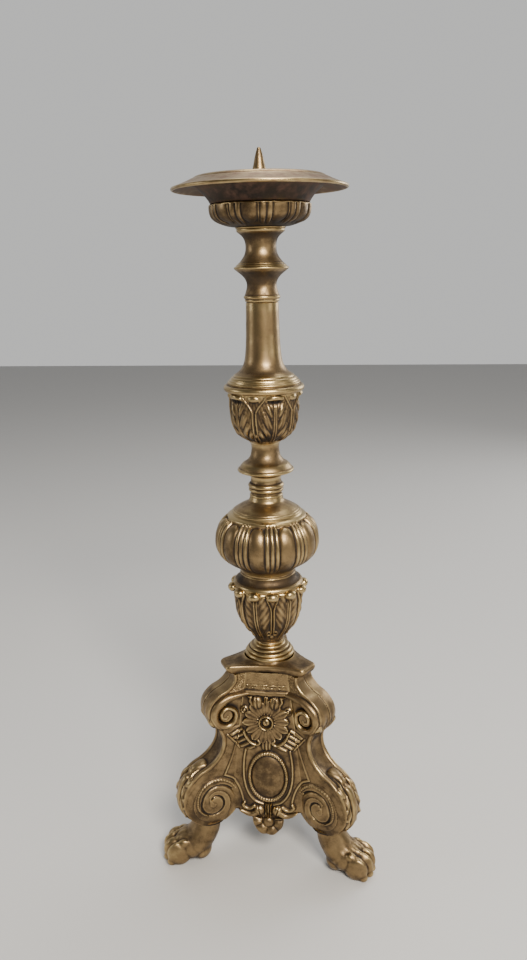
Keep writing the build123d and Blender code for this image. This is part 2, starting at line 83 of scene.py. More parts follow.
# %% [markdown]
# ## Drawing an outline
# A turner thinks in beads, hollows, fillets and long sweeps. These helpers give each of them as a row of
# points of (radius, height). A sweep goes through its points as a smooth curve, and a bead or a hollow
# is an arc that bulges by a given amount. Close, even points keep a polished surface free of ripples.

# %% Outline helpers
POINT_GAP = 0.55
STEPS_BETWEEN_POINTS = 24


def part_way(t, start, end, p, q):
    """p where t is start, q where it is end, and their mix in between."""
    return (end - t) / (end - start) * p + (t - start) / (end - start) * q


def sweep(*points, gap=POINT_GAP):
    """A smooth curve through points, as evenly spaced points."""
    p = np.array(points, float)
    p = np.vstack([2 * p[0] - p[1], p, 2 * p[-1] - p[-2]])
    fine = []
    for a, b, c, d in zip(p, p[1:], p[2:], p[3:]):
        spans = [max(np.linalg.norm(y - x), 1e-6) ** 0.5 for x, y in ((a, b), (b, c), (c, d))]
        t0, t1, t2, t3 = np.cumsum([0] + spans)
        t = np.linspace(t1, t2, STEPS_BETWEEN_POINTS, endpoint=False)[:, None]
        before, here, after = part_way(t, t0, t1, a, b), part_way(t, t1, t2, b, c), part_way(t, t2, t3, c, d)
        fine.append(part_way(t, t1, t2, part_way(t, t0, t2, before, here), part_way(t, t1, t3, here, after)))
    fine = np.vstack(fine + [p[-2]])
    length = np.concatenate([[0], np.cumsum(np.linalg.norm(np.diff(fine, axis=0), axis=1))])
    even = np.linspace(0, length[-1], max(2, int(length[-1] / gap) + 1))
    return [tuple(q) for q in np.column_stack([np.interp(even, length, fine[:, k]) for k in (0, 1)])]


def bow(start, end, bulge, gap=POINT_GAP):
    """An arc from start to end. It bulges outwards, to the right of the way it runs, by bulge."""
    a, b = np.array(start, float), np.array(end, float)
    chord = b - a
    side = np.array([chord[1], -chord[0]]) / np.linalg.norm(chord)
    half = np.linalg.norm(chord) / 2
    radius = (half**2 + bulge**2) / (2 * abs(bulge))
    centre = (a + b) / 2 + side * (bulge - np.sign(bulge) * radius)
    first, last = a - centre, b - centre
    turn = (atan2(last[1], last[0]) - atan2(first[1], first[0]) + pi) % tau - pi
    if abs(bulge) > half:
        turn -= np.sign(turn) * tau
    steps = max(4, int(abs(turn) * radius / gap))
    angles = atan2(first[1], first[0]) + turn * np.linspace(0, 1, steps + 1)
    return [(centre[0] + radius * cos(t), centre[1] + radius * sin(t)) for t in angles]


def joined(*stretches):
    """One outline from several, with points that repeat left out."""
    outline = []
    for point in (p for stretch in stretches for p in stretch):
        if not outline or abs(outline[-1][0] - point[0]) + abs(outline[-1][1] - point[1]) > 0.02:
            outline.append(point)
    return outline


def solid(outline):
    """Closes an outline that runs upwards on the stem's axis, so that it spins into a solid."""
    return [(0, outline[0][1])] + outline + [(0, outline[-1][1])]

# %% [markdown]
# ## Turning a piece
# The half section is drawn by extruding one vertex from point to point, and Spin carries it round the
# axis, just as a lathe tool meets turning stock. Merging by distance closes the seam and both poles.

# %% Edit mode, welding and spinning
WELD_GAP = 0.002 * MM


def start_clean():
    """Object mode, with nothing selected."""
    if bpy.context.object and bpy.context.object.mode != "OBJECT":
        bpy.ops.object.mode_set(mode="OBJECT")
    bpy.ops.object.select_all(action="DESELECT")


@contextmanager
def editing():
    """Edit mode with the whole mesh selected, until the block ends."""
    bpy.ops.object.mode_set(mode="EDIT")
    bpy.ops.mesh.select_all(action="SELECT")
    yield
    bpy.ops.object.mode_set(mode="OBJECT")


def enclosed_volume(piece):
    """The volume inside a closed piece, which is negative if its faces point inwards."""
    work = bmesh.new()
    work.from_mesh(piece.data)
    volume = work.calc_volume(signed=True)
    work.free()
    return volume


def close_up(piece, smooth_angle=35):
    """Merges the seams of a new shape, turns its faces outwards and shades it smooth."""
    with editing():
        bpy.ops.mesh.remove_doubles(threshold=WELD_GAP)
        bpy.ops.mesh.normals_make_consistent(inside=False)
    if enclosed_volume(piece) < 0:
        piece.data.flip_normals()
    bpy.ops.object.shade_smooth_by_angle(angle=radians(smooth_angle))
    return piece


def turned(name, outline, steps=128):
    """A piece spun from the points of its half section, in millimetres."""
    start_clean()
    bpy.ops.mesh.primitive_plane_add(size=MM)
    piece = bpy.context.object
    piece.name = name
    stops = [Vector((r * MM, 0, z * MM)) for r, z in outline]
    with editing():
        bpy.ops.mesh.merge(type="CENTER")
        bpy.ops.transform.translate(value=stops[0])
        for a, b in zip(stops, stops[1:]):
            bpy.ops.mesh.extrude_region_move(TRANSFORM_OT_translate={"value": b - a})
        bpy.ops.mesh.select_all(action="SELECT")
        bpy.ops.mesh.spin(steps=steps, angle=tau, center=(0, 0, 0), axis=(0, 0, 1))
    return close_up(piece)

# %% [markdown]
# ## Modelling relief
# Cast ornament is relief on a plain body. A piece gets enough faces first, and then every vertex moves
# along its normal by the height that a short formula gives for its place, as a chaser raises and sinks
# metal. The formulas are built from a few shapes: round ridges, domes, leaves and spirals.

# %% Relief helpers


def points_of(piece):
    """The vertices of a piece in millimetres, and their normals."""
    mesh = piece.data
    place = np.empty(len(mesh.vertices) * 3)
    normal = np.empty(len(mesh.vertices) * 3)
    mesh.vertices.foreach_get("co", place)
    mesh.vertex_normals.foreach_get("vector", normal)
    return place.reshape(-1, 3) / MM, normal.reshape(-1, 3)


def set_points(piece, place):
    """Puts the vertices of a piece at these places, in millimetres."""
    piece.data.vertices.foreach_set("co", (place * MM).ravel())
    piece.data.update()


def raise_relief(piece, height):
    """Moves every vertex along its normal by height(angle, radius, z)."""
    place, normal = points_of(piece)
    angle = np.arctan2(place[:, 1], place[:, 0])
    radius = np.hypot(place[:, 0], place[:, 1])
    lift = height(angle, radius, place[:, 2])
    set_points(piece, place + normal * lift[:, None])
    return piece


def domed(*parts):
    """A dome: 1 where every part is 0, and 0 once their squares add up to 1."""
    level = 1
    for part in parts:
        level = level - part**2
    return np.sqrt(np.clip(level, 0, 1))


def rounded(distance, half_width):
    """A round ridge: 1 on its centre line, 0 at half_width and beyond."""
    return domed(distance / half_width)


def dimple(*parts):
    """A soft dimple: 1 where every part is 0, and next to nothing where one is 2."""
    return np.exp(-sum(part**2 for part in parts))


def ease(value, start, end):
    """Rises smoothly from 0 at start to 1 at end."""
    t = np.clip((value - start) / (end - start), 0, 1)
    return t * t * (3 - 2 * t)


def tooth(angle, count, centre=0.0):
    """The place of an angle in its share of the circle, from -0.5 to 0.5."""
    return ((angle - centre) * count / tau + 0.5) % 1 - 0.5


def along(x, y, path):
    """For each point, its distance from a path and how far along the path that is, from 0 to 1."""
    path = np.array(path, float)
    length = np.linalg.norm(np.diff(path, axis=0), axis=1)
    start = np.concatenate([[0], np.cumsum(length)])
    nearest = np.full(np.shape(x), np.inf)
    share = np.zeros(np.shape(x))
    for (ax, ay), (bx, by), run, before in zip(path, path[1:], length, start):
        t = np.clip(((x - ax) * (bx - ax) + (y - ay) * (by - ay)) / run**2, 0, 1)
        d = np.hypot(x - ax - t * (bx - ax), y - ay - t * (by - ay))
        closer = d < nearest
        nearest = np.where(closer, d, nearest)
        share = np.where(closer, (before + t * run) / start[-1], share)
    return nearest, share


def strand(x, y, path, half_width):
    """A round ridge along a path: 1 on it, 0 at half_width and beyond."""
    return rounded(along(x, y, path)[0], half_width)

# %% [markdown]
# Some pieces are assembled from copies of one part, as a founder joins waxes before casting. Every copy
# gets a mesh of its own, and each move is made in the mesh, so the object itself stays at the origin.

# %% Copy, join and smooth


def copy_of(piece, *moves):
    """A copy with a mesh of its own, to which the moves are applied in turn."""
    copy = piece.copy()
    copy.data = piece.data.copy()
    bpy.context.collection.objects.link(copy)
    for move in moves:
        copy.data.transform(move)
    return copy


def join_to(piece, parts, smooth_angle=None):
    """Joins parts to a piece, whose object stays, and shades the result smooth up to an angle."""
    start_clean()
    for part in parts + [piece]:
        part.select_set(True)
    bpy.context.view_layer.objects.active = piece
    bpy.ops.object.join()
    if smooth_angle:
        bpy.ops.object.shade_smooth_by_angle(angle=radians(smooth_angle))


def apply_modifier(piece, kind, **settings):
    """Adds a modifier with these settings and applies it."""
    modifier = piece.modifiers.new(kind.lower(), kind)
    for key, value in settings.items():
        setattr(modifier, key, value)
    bpy.ops.object.modifier_apply(modifier=modifier.name)

# %% [markdown]
# ## Reading the recesses
# Old brass is dark where a cloth can't reach and bright where hands and polish do. Each piece stores one
# number for every vertex, called hollow, that says how far it lies below (above zero) or above (below
# zero) the surface smoothed around it. Smoothing a little finds fine grooves, and smoothing more finds
# the deep places between whole ornaments, whose darkening is partly patina and partly painted shade.
# Faces that look down count as recessed too: that is painted shade, for the shade under overhangs. A set
# amount per piece can be added on top, which is grime on some pieces and painted shade on others.

# %% Measure hollows
FINE_PASSES, FINE_DEPTH = 5, 0.17
BROAD_PASSES, BROAD_DEPTH = 50, 1.0


def measure_hollows(piece, underside_shade=0.6, grime_and_shade=0.0):
    """Stores the vertex attribute hollow, from about -1 on high spots to 1 in recesses."""
    place, normal = points_of(piece)
    mesh = piece.data
    ends = np.empty(len(mesh.edges) * 2, int)
    mesh.edges.foreach_get("vertices", ends)
    a, b = ends.reshape(-1, 2).T
    count = len(place)
    degree = np.maximum(np.bincount(a, minlength=count) + np.bincount(b, minlength=count), 1)
    smooth = place.copy()
    # painted shade: faces that look down are darkened for the shade under them, and the set amount adds grime
    # on some pieces and painted shade on others
    hollow = grime_and_shade + underside_shade * np.clip(-normal[:, 2], 0, 1)
    for step in range(1, BROAD_PASSES + 1):
        total = np.empty_like(smooth)
        for axis in range(3):
            column = smooth[:, axis]
            total[:, axis] = np.bincount(a, column[b], count) + np.bincount(b, column[a], count)
        smooth = 0.4 * smooth + 0.6 * total / degree[:, None]
        if step in (FINE_PASSES, BROAD_PASSES):
            depth = ((smooth - place) * normal).sum(1)
            limit = FINE_DEPTH if step == FINE_PASSES else BROAD_DEPTH
            hollow += 0.5 * np.clip(depth / limit, -1, 1)
    store = mesh.attributes.new("hollow", "FLOAT", "POINT")
    store.data.foreach_set("value", hollow.astype(np.float32))
    return piece

# %% [markdown]
# ## Finishes
# A finish is a node material, and its mixing is written as sums. The small class Shade wraps a socket,
# so that a sum of masks adds the Math nodes itself, and every other node comes from NodeTree.node.

# %% Shader sums


class Shade:
    """A shader socket that can be used in sums."""

    def __init__(self, owner, socket):
        self.owner = owner
        self.socket = socket

    def maths(self, operation, first, second):
        return self.owner.node("ShaderNodeMath", {"operation": operation}, {0: first, 1: second})

    def __add__(self, other):
        return self.maths("ADD", self, other)

    def __sub__(self, other):
        return self.maths("SUBTRACT", self, other)

    def __rsub__(self, other):
        return self.maths("SUBTRACT", other, self)

    def __mul__(self, other):
        return self.maths("MULTIPLY", self, other)

    __radd__ = __add__
    __rmul__ = __mul__

    def between(self, start, end):
        """0 at start and below, 1 at end and above, with an eased rise."""
        return self.owner.node("ShaderNodeMapRange", {"interpolation_type": "SMOOTHSTEP"},
                               {"Value": self, "From Min": start, "From Max": end}, output="Result")


class NodeTree:
    """A node tree under construction."""

    def __init__(self, tree):
        self.tree = tree

    def plug(self, socket, value):
        """Links a Shade to a socket, or sets the socket to a plain value."""
        if isinstance(value, Shade):
            self.tree.links.new(value.socket, socket)
        else:
            socket.default_value = value

    def node(self, kind, settings=None, inputs=None, output=0):
        """A new node with its settings made first, then its sockets, as the Shade of one output."""
        node = self.tree.nodes.new(kind)
        for key, value in (settings or {}).items():
            setattr(node, key, value)
        for key, value in (inputs or {}).items():
            self.plug(node.inputs[key], value)
        return Shade(self, node.outputs[output])

    def blend(self, mask, colour, other):
        """colour where mask is 0 and other where it is 1."""
        sockets = {"Factor": mask, 6: colour, 7: other}
        return self.node("ShaderNodeMix", {"data_type": "RGBA"}, sockets, output=2)


class Finish(NodeTree):
    """A material under construction."""

    def __init__(self, name):
        self.material = bpy.data.materials.new(name)
        self.material.use_nodes = True
        super().__init__(self.material.node_tree)
        self.place = self.node("ShaderNodeTexCoord", output="Object")

    def blotches(self, size_mm, detail=3.0, stretch=(1, 1, 1)):
        """Noise with patches of about this size, from 0 to 1, stretched along the axes if asked."""
        where = self.node("ShaderNodeMapping", None, {"Vector": self.place, "Scale": stretch})
        return self.node("ShaderNodeTexNoise", None,
                         {"Vector": where, "Scale": 1000 / size_mm, "Detail": detail, "Roughness": 0.6})

    def bump(self, height):
        """The surface normal for a height in millimetres."""
        return self.node("ShaderNodeBump", None, {"Height": height * MM, "Strength": 1.0, "Distance": 1.0},
                         output="Normal")

    def feed(self, **sockets):
        """Links or sets sockets of the surface shader. An underscore stands for a space."""
        surface = self.tree.nodes["Principled BSDF"]
        for key, value in sockets.items():
            self.plug(surface.inputs[key.replace("_", " ")], value)
        return self.material

# %% [markdown]
# ## Aged brass
# One recipe makes every brass finish: warm brown brass, a dark skin in the hollows, and rubbed metal on
# the high spots. Blotches of tarnish break it up at three sizes. Turned pieces also keep the fine rings
# of the lathe, and cast ones the sandy grain and small pits of the mould.

# %% Brass recipe
PIT_SPACING_MM = 3.1
PALE_BRASS = (0.56, 0.415, 0.195, 1)
WARM_BRASS = (0.275, 0.189, 0.094, 1)
BROWN_SKIN = (0.090, 0.060, 0.033, 1)
DARK_SKIN = (0.020, 0.014, 0.010, 1)
RED_SKIN = (0.20, 0.105, 0.068, 1)


def aged_brass(name, tarnish=0.0, redness=0.0, grain=0.5, rings=0.0, polish=0.0):
    """Brass with a stated amount of tarnish, redness, cast grain, lathe rings and polish."""
    f = Finish(name)
    hollow = f.node("ShaderNodeAttribute", {"attribute_name": "hollow"}, output="Fac")
    cloudy = f.blotches(26)
    patchy = f.blotches(6, detail=5)
    fine = f.blotches(0.9, detail=4)
    # the hollow attribute carries patina depth and also painted shade under overhangs and on shaded pieces,
    # so the dark skin here shows both
    depth = hollow + (cloudy - 0.5) * 1.2 + (patchy - 0.5) * 1.1 + (fine - 0.5) * 0.35 + tarnish
    skin = depth.between(-0.16, 0.40)
    deep = depth.between(0.26, 0.95)
    rubbed = (0.0 - depth).between(0.12 - polish, 0.75 - polish)
    colour = f.blend(skin, WARM_BRASS, BROWN_SKIN)
    colour = f.blend(deep, colour, DARK_SKIN)
    colour = f.blend(rubbed * 0.70, colour, PALE_BRASS)
    if redness:
        colour = f.blend(patchy.between(0.35, 0.75) * redness, colour, RED_SKIN)
    rough = 0.38 + skin * 0.14 + deep * 0.13 - rubbed * 0.07 + (patchy - 0.5) * 0.20
    height = (fine - 0.5) * (0.05 * grain) + (patchy - 0.5) * (0.10 * grain)
    if rings:
        lathe_marks = f.blotches(1.0, detail=2, stretch=(0.02, 0.02, 1.6))
        height = height + (lathe_marks - 0.5) * (0.03 * rings)
    if grain > 0.3:
        pits = f.node("ShaderNodeTexVoronoi", None, {"Vector": f.place, "Scale": 1000 / PIT_SPACING_MM},
                      output="Distance")
        spare = f.blotches(11, detail=1).between(0.56, 0.66)
        height = height - (1.0 - pits.between(0.0, 0.16)) * spare * (0.10 * grain)
    metal = 1.0 - deep * 0.45 - skin * 0.08
    return f.feed(Base_Color=colour, Metallic=metal, Roughness=rough, Normal=f.bump(height))


RECIPES = {
    "turned_brass": dict(tarnish=-0.06, grain=0.25, rings=1.0, polish=0.04),
    "cast_brass": dict(tarnish=0.06, grain=0.8),
    "pan_brass": dict(tarnish=0.08, redness=0.55, grain=0.35, rings=0.5),
    "spike_brass": dict(tarnish=-0.02, grain=0.3, rings=0.6, polish=0.05),
}
BRASS = {name: aged_brass(name, **recipe) for name, recipe in RECIPES.items()}
print("brass finishes:", ", ".join(BRASS))

# %% Finish a piece


def coat(piece, material):
    """Gives a piece one material all over."""
    piece.data.materials.clear()
    piece.data.materials.append(material)


def finish_piece(piece, node, slot, body="stand", underside_shade=0.6, grime_and_shade=0.0):
    """Gives a piece its hollows and its brass, and lets it stand for its node."""
    measure_hollows(piece, underside_shade, grime_and_shade)
    coat(piece, BRASS[slot])
    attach(piece, body)
    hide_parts(node)
    print(f"{piece.name}: {len(piece.data.polygons)} faces")

# %% [markdown]
# ## The plain turned pieces
# These have crisp rings, grooves and long hollows, and nothing else. Each outline follows the piece from
# its foot to its top. A set darkening dims a piece all over: grime where handling has left it dull, and
# painted shade on a piece that lies in the shadow of another, such as the waist collar under the knop.

# %% Turn and finish a plain piece


def plain_turning(node, *stretches, grime_and_shade=0.0):
    """Spins a piece from its outline, with heights above its own foot, and finishes it in turned brass."""
    outline = [(radius, FLOOR[node] + height) for radius, height in joined(*stretches)]
    finish_piece(turned(node + "_turned", solid(outline)), node, "turned_brass", grime_and_shade=grime_and_shade)


# %% Foot ring: three rounded steps that spread the stem's load over the cap
plain_turning(
    "foot_ring",
    bow((17.5, 0), (17.1, 2.4), 0.5),
    bow((15.8, 2.6), (15.2, 4.9), 0.7),
    bow((13.9, 5.1), (12.9, 7.1), 0.7),
    bow((11.5, 7.4), (10.5, 9), 0.4),
)

# %% Waist collar: a soft roll, a hollow and a fine ring under the knop
top = CEILING["waist_collar"] - FLOOR["waist_collar"]
plain_turning(
    "waist_collar",
    bow((24.7, 0), (23.5, 2.6), 0.45),
    bow((23.3, 2.8), (19.5, 7.4), -0.9),
    bow((19.5, 7.6), (19.3, 8.7), 0.3),
    bow((19.1, 8.9), (19.5, top), -0.15),
    # painted shadow: most of this darkening stands for the knop's shadow falling on the collar
    grime_and_shade=0.52,
)

# %% Knop dome: a ring, a groove and a bell that rises into the neck
plain_turning(
    "knop_dome",
    [(24.6, 0), (24.0, 0.7)],
    bow((23.8, 0.9), (23.2, 2.3), 0.35),
    bow((22.8, 2.4), (22.1, 3.1), -0.15),
    sweep((21.8, 3.2), (19.4, 4.8), (16.5, 6.3), (13.8, 7.7), (12.1, 9.2),
          (11.2, 12)),
)

# %% Neck ring: a small fillet, then a double ring
plain_turning(
    "neck_ring",
    bow((11.1, 0), (11.0, 1.7), 0.35),
    bow((10.5, 2.0), (10.5, 3.5), -0.1),
    bow((11.4, 3.7), (11.5, 6.0), 0.6),
    bow((11.5, 6.2), (11.2, 9.4), 0.95),
    sweep((10.7, 9.8), (10.3, 12), (10.5, 13.5), (10.8, 14.5)),
    grime_and_shade=0.14,
)

# %% Stem disc: a thin-edged disc that sweeps up into a spool
plain_turning(
    "stem_disc",
    sweep((10.8, 0), (12.8, 1.2), (16.4, 2.5), (18.8, 3.4)),
    bow((18.8, 3.4), (18.6, 5.4), 0.6),
    bow((18.0, 5.7), (15.9, 8.6), 0.15),
    sweep((15.5, 9.0), (13.2, 10.3), (11.7, 11.8), (10.4, 13.8), (9.6, 17),
          (9.4, 20), (9.9, 22.6), (10.7, 24)),
)

# %% Vase lip: a recess for the leaf tips, then a heavy roll with a dark groove over it
plain_turning(
    "vase_lip",
    [(23.2, 0), (23.2, 1.9), (24.0, 2.3)],
    bow((25.6, 2.6), (25.8, 6.6), 1.25),
    bow((24.5, 6.8), (24.3, 7.5), -0.2),
    bow((24.2, 7.6), (23.7, 9), 0.4),
    grime_and_shade=0.40,
)

# %% Column: fine rings at its foot, a trumpet and a straight shaft with a little taper
top = CEILING["column"] - FLOOR["column"]
plain_turning(
    "column",
    [(23.2, 0), (23.0, 1.0)],
    bow((22.2, 1.3), (21.0, 2.9), 0.25),
    bow((20.4, 3.1), (19.0, 4.6), 0.25),
    sweep((18.5, 4.9), (15.9, 6.9), (13.7, 10.2), (12.6, 13.5), (11.7, 20),
          (11.2, 28), (10.95, 37), (10.7, 48), (10.7, top - 0.3), gap=0.8),
    [(10.4, top)],
)

# %% Top spool: a double ring, then a hollow that spreads to a sharp edge
top = CEILING["top_spool"] - FLOOR["top_spool"]
plain_turning(
    "top_spool",
    bow((10.7, 0.3), (11.1, 1.9), 0.3),
    bow((11.2, 2.2), (11.3, 4.4), 0.75),
    sweep((11.1, 4.8), (10.4, 7), (9.75, 9.5), (9.7, 11.8), (10.4, 14), (11.8, 16.1),
          (13.7, 17.9), (15.9, 19.6), (17.3, 20.8)),
    bow((17.3, 20.8), (17.4, top), 0.5),
    grime_and_shade=0.10,
)

# %% Upper neck: two fine rings over the sharp edge, and a hollow neck that opens under the cup
top = CEILING["upper_neck"] - FLOOR["upper_neck"]
plain_turning(
    "upper_neck",
    [(17.0, 0)],
    bow((16.4, 0.5), (15.4, 1.6), 0.2),
    bow((15.0, 1.8), (14.0, 2.8), 0.2),
    sweep((13.8, 3.1), (12.3, 5), (10.9, 7.3), (10.1, 9.9), (9.9, 12.4), (10.2, 15.2),
          (11.1, 17.6), (12.5, 19.3), (14.2, 20.7), (15.0, 21.3)),
    bow((15.2, 21.5), (15.3, top), 0.35),
    grime_and_shade=0.18,
)

# %% [markdown]
# ## The gadrooned knop
# Gadroons are swelling lobes. On the knop a broad lobe alternates with three narrow ribs, ten times
# round. They start in rounded ends under a plain band and melt into the waist. The turned blank is the
# outside of the lobes, and the relief sinks the metal between them.

# %% Gadroon formula
UNITS = 10
RIB_PLACE = radians(-76)


def gadroons(angle, rib_share, ribs, end):
    """The lobes, from 0 in a groove to 1 on a crest. rib_share is the ribs' share of a unit, and end is 0
    along the lobes and 1 at their tips."""
    t = tooth(angle, UNITS, RIB_PLACE)
    broad = np.clip((0.5 - np.abs(t)) / (0.5 - rib_share / 2), 0, 1)
    narrow = tooth(t * tau + pi * (ribs - 1) % tau, ribs / rib_share) * 2
    in_ribs = np.abs(t) < rib_share / 2
    side = np.where(in_ribs, narrow, broad)
    reach = np.where(in_ribs, end * 0.8, end)
    crest = np.sqrt(np.clip(1 - np.abs(side) ** 2.2 - reach**2, 0, 1))
    return np.where(in_ribs, 0.15 + 0.8 * crest, crest)

# %% Knop
z = FLOOR["gadrooned_knop"]
top = CEILING["gadrooned_knop"]
belly = sweep(
    (19.5, z), (20.6, z + 2.0), (22.6, z + 3.8), (26.8, z + 6.2), (30.2, z + 8.5), (33.3, z + 11.5),
    (35.2, z + 14.8), (36.3, z + 18.8), (36.4, z + 22.6), (35.8, z + 27.4), (34.5, z + 31.4),
    (32.3, z + 35), (29.6, z + 38), (27.2, z + 39.8), (25.2, top), gap=0.62,
)
LOBE_TOP = top - 1.7
LOBE_END = 6
KNOP_GROOVE = 2.3


def knop_relief(angle, radius, height):
    end = np.clip((height - (LOBE_TOP - LOBE_END)) / LOBE_END, 0, 1)
    lobes = gadroons(angle, 0.46, 3, end)
    depth = KNOP_GROOVE * ease(height, z + 1.5, z + 16) * (1 - ease(height, LOBE_TOP - 0.3, LOBE_TOP + 0.5))
    return -depth * (1 - lobes)


knop = raise_relief(turned("gadrooned_knop_cast", solid(belly), steps=420), knop_relief)
finish_piece(knop, "gadrooned_knop", "cast_brass", grime_and_shade=0.09)

# %% [markdown]
# ## The cup
# The cup under the pan repeats the knop's lobes on a shallow bowl. Its rim stays plain, and inside it has
# the ledge that carries the pan and the boss that carries the spike.

# %% Cup
z = FLOOR["cup"]
top = CEILING["cup"]
pan_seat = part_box("drip_pan")[0].z / MM
boss = low("pricket")
CUP_GROOVE = 1.5
bowl = joined(
    bow((15.6, z), (15.9, z + 1.0), 0.35),
    sweep((16.4, z + 1.1), (19.6, z + 1.5), (23.0, z + 2.1), (26.4, z + 3.2), (29.2, z + 4.9),
          (31.2, z + 6.9), (32.2, z + 9.2), (32.6, z + 11.6), (32.6, top - 0.9), gap=0.45),
    bow((32.6, top - 0.9), (31.4, top), 0.3),
    [(30.2, top), (30.2, pan_seat), (27.4, pan_seat), (27.3, pan_seat - 2.4)],
    [(21, z + 5.2), (9, z + 5), (9, boss)],
)


def cup_relief(angle, radius, height):
    outside = (radius > 15) & ((height < z + 4.3) | (radius > 30.4) | ((radius > 28) & (height < z + 7)))
    end = np.clip((z + 5.5 - height) / 3.4, 0, 1)
    lobes = gadroons(angle, 0.44, 2, end)
    depth = CUP_GROOVE * ease(height, z + 1.4, z + 3.2) * (1 - ease(height, top - 1.1, top - 0.5))
    return np.where(outside, -depth * (1 - lobes), 0)


cup = raise_relief(turned("cup_cast", solid(bowl), steps=400), cup_relief)
finish_piece(cup, "cup", "cast_brass", grime_and_shade=0.12)

# %% [markdown]
# ## The lower vase
# Six broad fluted leaves stand round it, and their tips turn over into beads under the rim. Between two
# leaves their edges run down together as a forked stem from a bead of its own, and end in small curls.

# %% Lower vase
z = FLOOR["lower_vase"]
top = CEILING["lower_vase"]
LEAVES = 6
BEAD_RADIUS = 3.35
BEAD_RING = 25.3
BEAD_Z = top - 2.5
BEAD_PLACE = radians(-75)
wall = joined(
    bow((9.6, z), (9.7, z + 1.6), 0.3),
    bow((9.5, z + 1.9), (10.6, z + 3.6), 0.4),
    sweep((10.9, z + 3.9), (13.0, z + 7.1), (15.4, z + 10.2), (18.2, z + 14.1), (20.5, z + 18.2),
          (22.1, z + 22.2), (23.2, z + 26), (23.6, z + 30), (24.0, z + 34), (24.5, z + 37.6), (24.7, z + 41),
          (24.6, z + 43)),
    bow((24.3, z + 43.2), (24.6, z + 45.2), 0.8),
    [(24.9, top)],
)


def vase_relief(angle, radius, height):
    up = (height - (z + 4.5)) / (BEAD_Z - z - 4.5)
    arc = tau * radius / LEAVES
    from_stem = np.abs(tooth(angle, LEAVES, BEAD_PLACE)) * arc
    from_rib = arc / 2 - from_stem
    fork = 0.85 + 3.0 * ease(up, 0.72, 1.0)
    share = np.clip(from_rib / np.maximum(arc / 2 - fork, 0.5), 0, 1)
    blade = ease(share, 0.15, 0.4) * (1 - ease(share, 0.85, 1.0))
    edge = 1.5 * rounded(from_stem - fork, 0.85) * ease(up, 0.16, 0.26)
    between = -0.8 * (1 - ease(from_stem, fork - 0.5, fork)) * ease(up, 0.3, 0.5)
    midrib = 0.9 * rounded(from_rib - 0.85, 0.6)
    flutes = 0.34 * np.cos(share * tau * 1.7 + 0.4) * ease(share, 0.12, 0.3) * (1 - ease(share, 0.9, 1.0))
    nicks = 0.16 * np.sin((height - z) * 1.15 - from_rib * 1.5) * blade
    bulge = 0.9 * np.sin(share * pi) * ease(up, 0.1, 0.4)
    coil = [(2.3 + 1.5 * cos(a), z + 13.0 + 1.9 * sin(a)) for a in np.linspace(-2.6, 2.6, 12)]
    curl = 1.2 * strand(from_stem, height, coil, 0.8)
    drop = 1.4 * domed(from_stem / 1.5, (height - z - 8.4) / 1.9)
    shade = -1.1 * dimple(from_rib / 2.4, (height - BEAD_Z + 4.6) / 1.5)
    body = np.maximum.reduce([edge + between, midrib + flutes + nicks + bulge, curl, drop])
    window = ease(up, 0.0, 0.10) * (1 - ease(height, BEAD_Z + 0.6, BEAD_Z + 2.6))
    return (body + shade - 0.9) * window


vase = raise_relief(turned("lower_vase_cast", solid(wall), steps=432), vase_relief)
start_clean()
bpy.ops.mesh.primitive_uv_sphere_add(segments=28, ring_count=16, radius=BEAD_RADIUS * MM)
bead = bpy.context.object
bead.data.transform(Matrix.Diagonal((1, 1.3, 0.95, 1)))
bead_angles = [BEAD_PLACE + k * pi / LEAVES for k in range(2 * LEAVES)]
beads = [
    copy_of(bead, Matrix.Rotation(a, 4, "Z"),
            Matrix.Translation((BEAD_RING * cos(a) * MM, BEAD_RING * sin(a) * MM, BEAD_Z * MM)))
    for a in bead_angles
]
bpy.data.objects.remove(bead)
join_to(vase, beads, smooth_angle=50)
finish_piece(vase, "lower_vase", "cast_brass", grime_and_shade=0.10)

# %% [markdown]
# ## The upper vase
# Five broad leaves stand round it with their tips rolled out under the lip. Their edges meet between them
# at two thirds of the height, and in the fork above that the tip of a leaf behind looks out. The tips
# lap over the recess at the foot of the lip.

# %% Upper vase
LAP = 2.3
z = FLOOR["upper_vase"]
top = CEILING["upper_vase"] + LAP
BROAD_LEAVES = 5
LEAF_PLACE = radians(-63)
body = sweep(
    (10.9, z), (12.6, z + 1.5), (15.9, z + 3.4), (19.0, z + 6.8), (21.0, z + 10.4), (22.1, z + 14.3),
    (22.7, z + 19), (23.1, z + 24), (23.4, z + 28), (23.9, z + 30.7), (24.3, top),
)


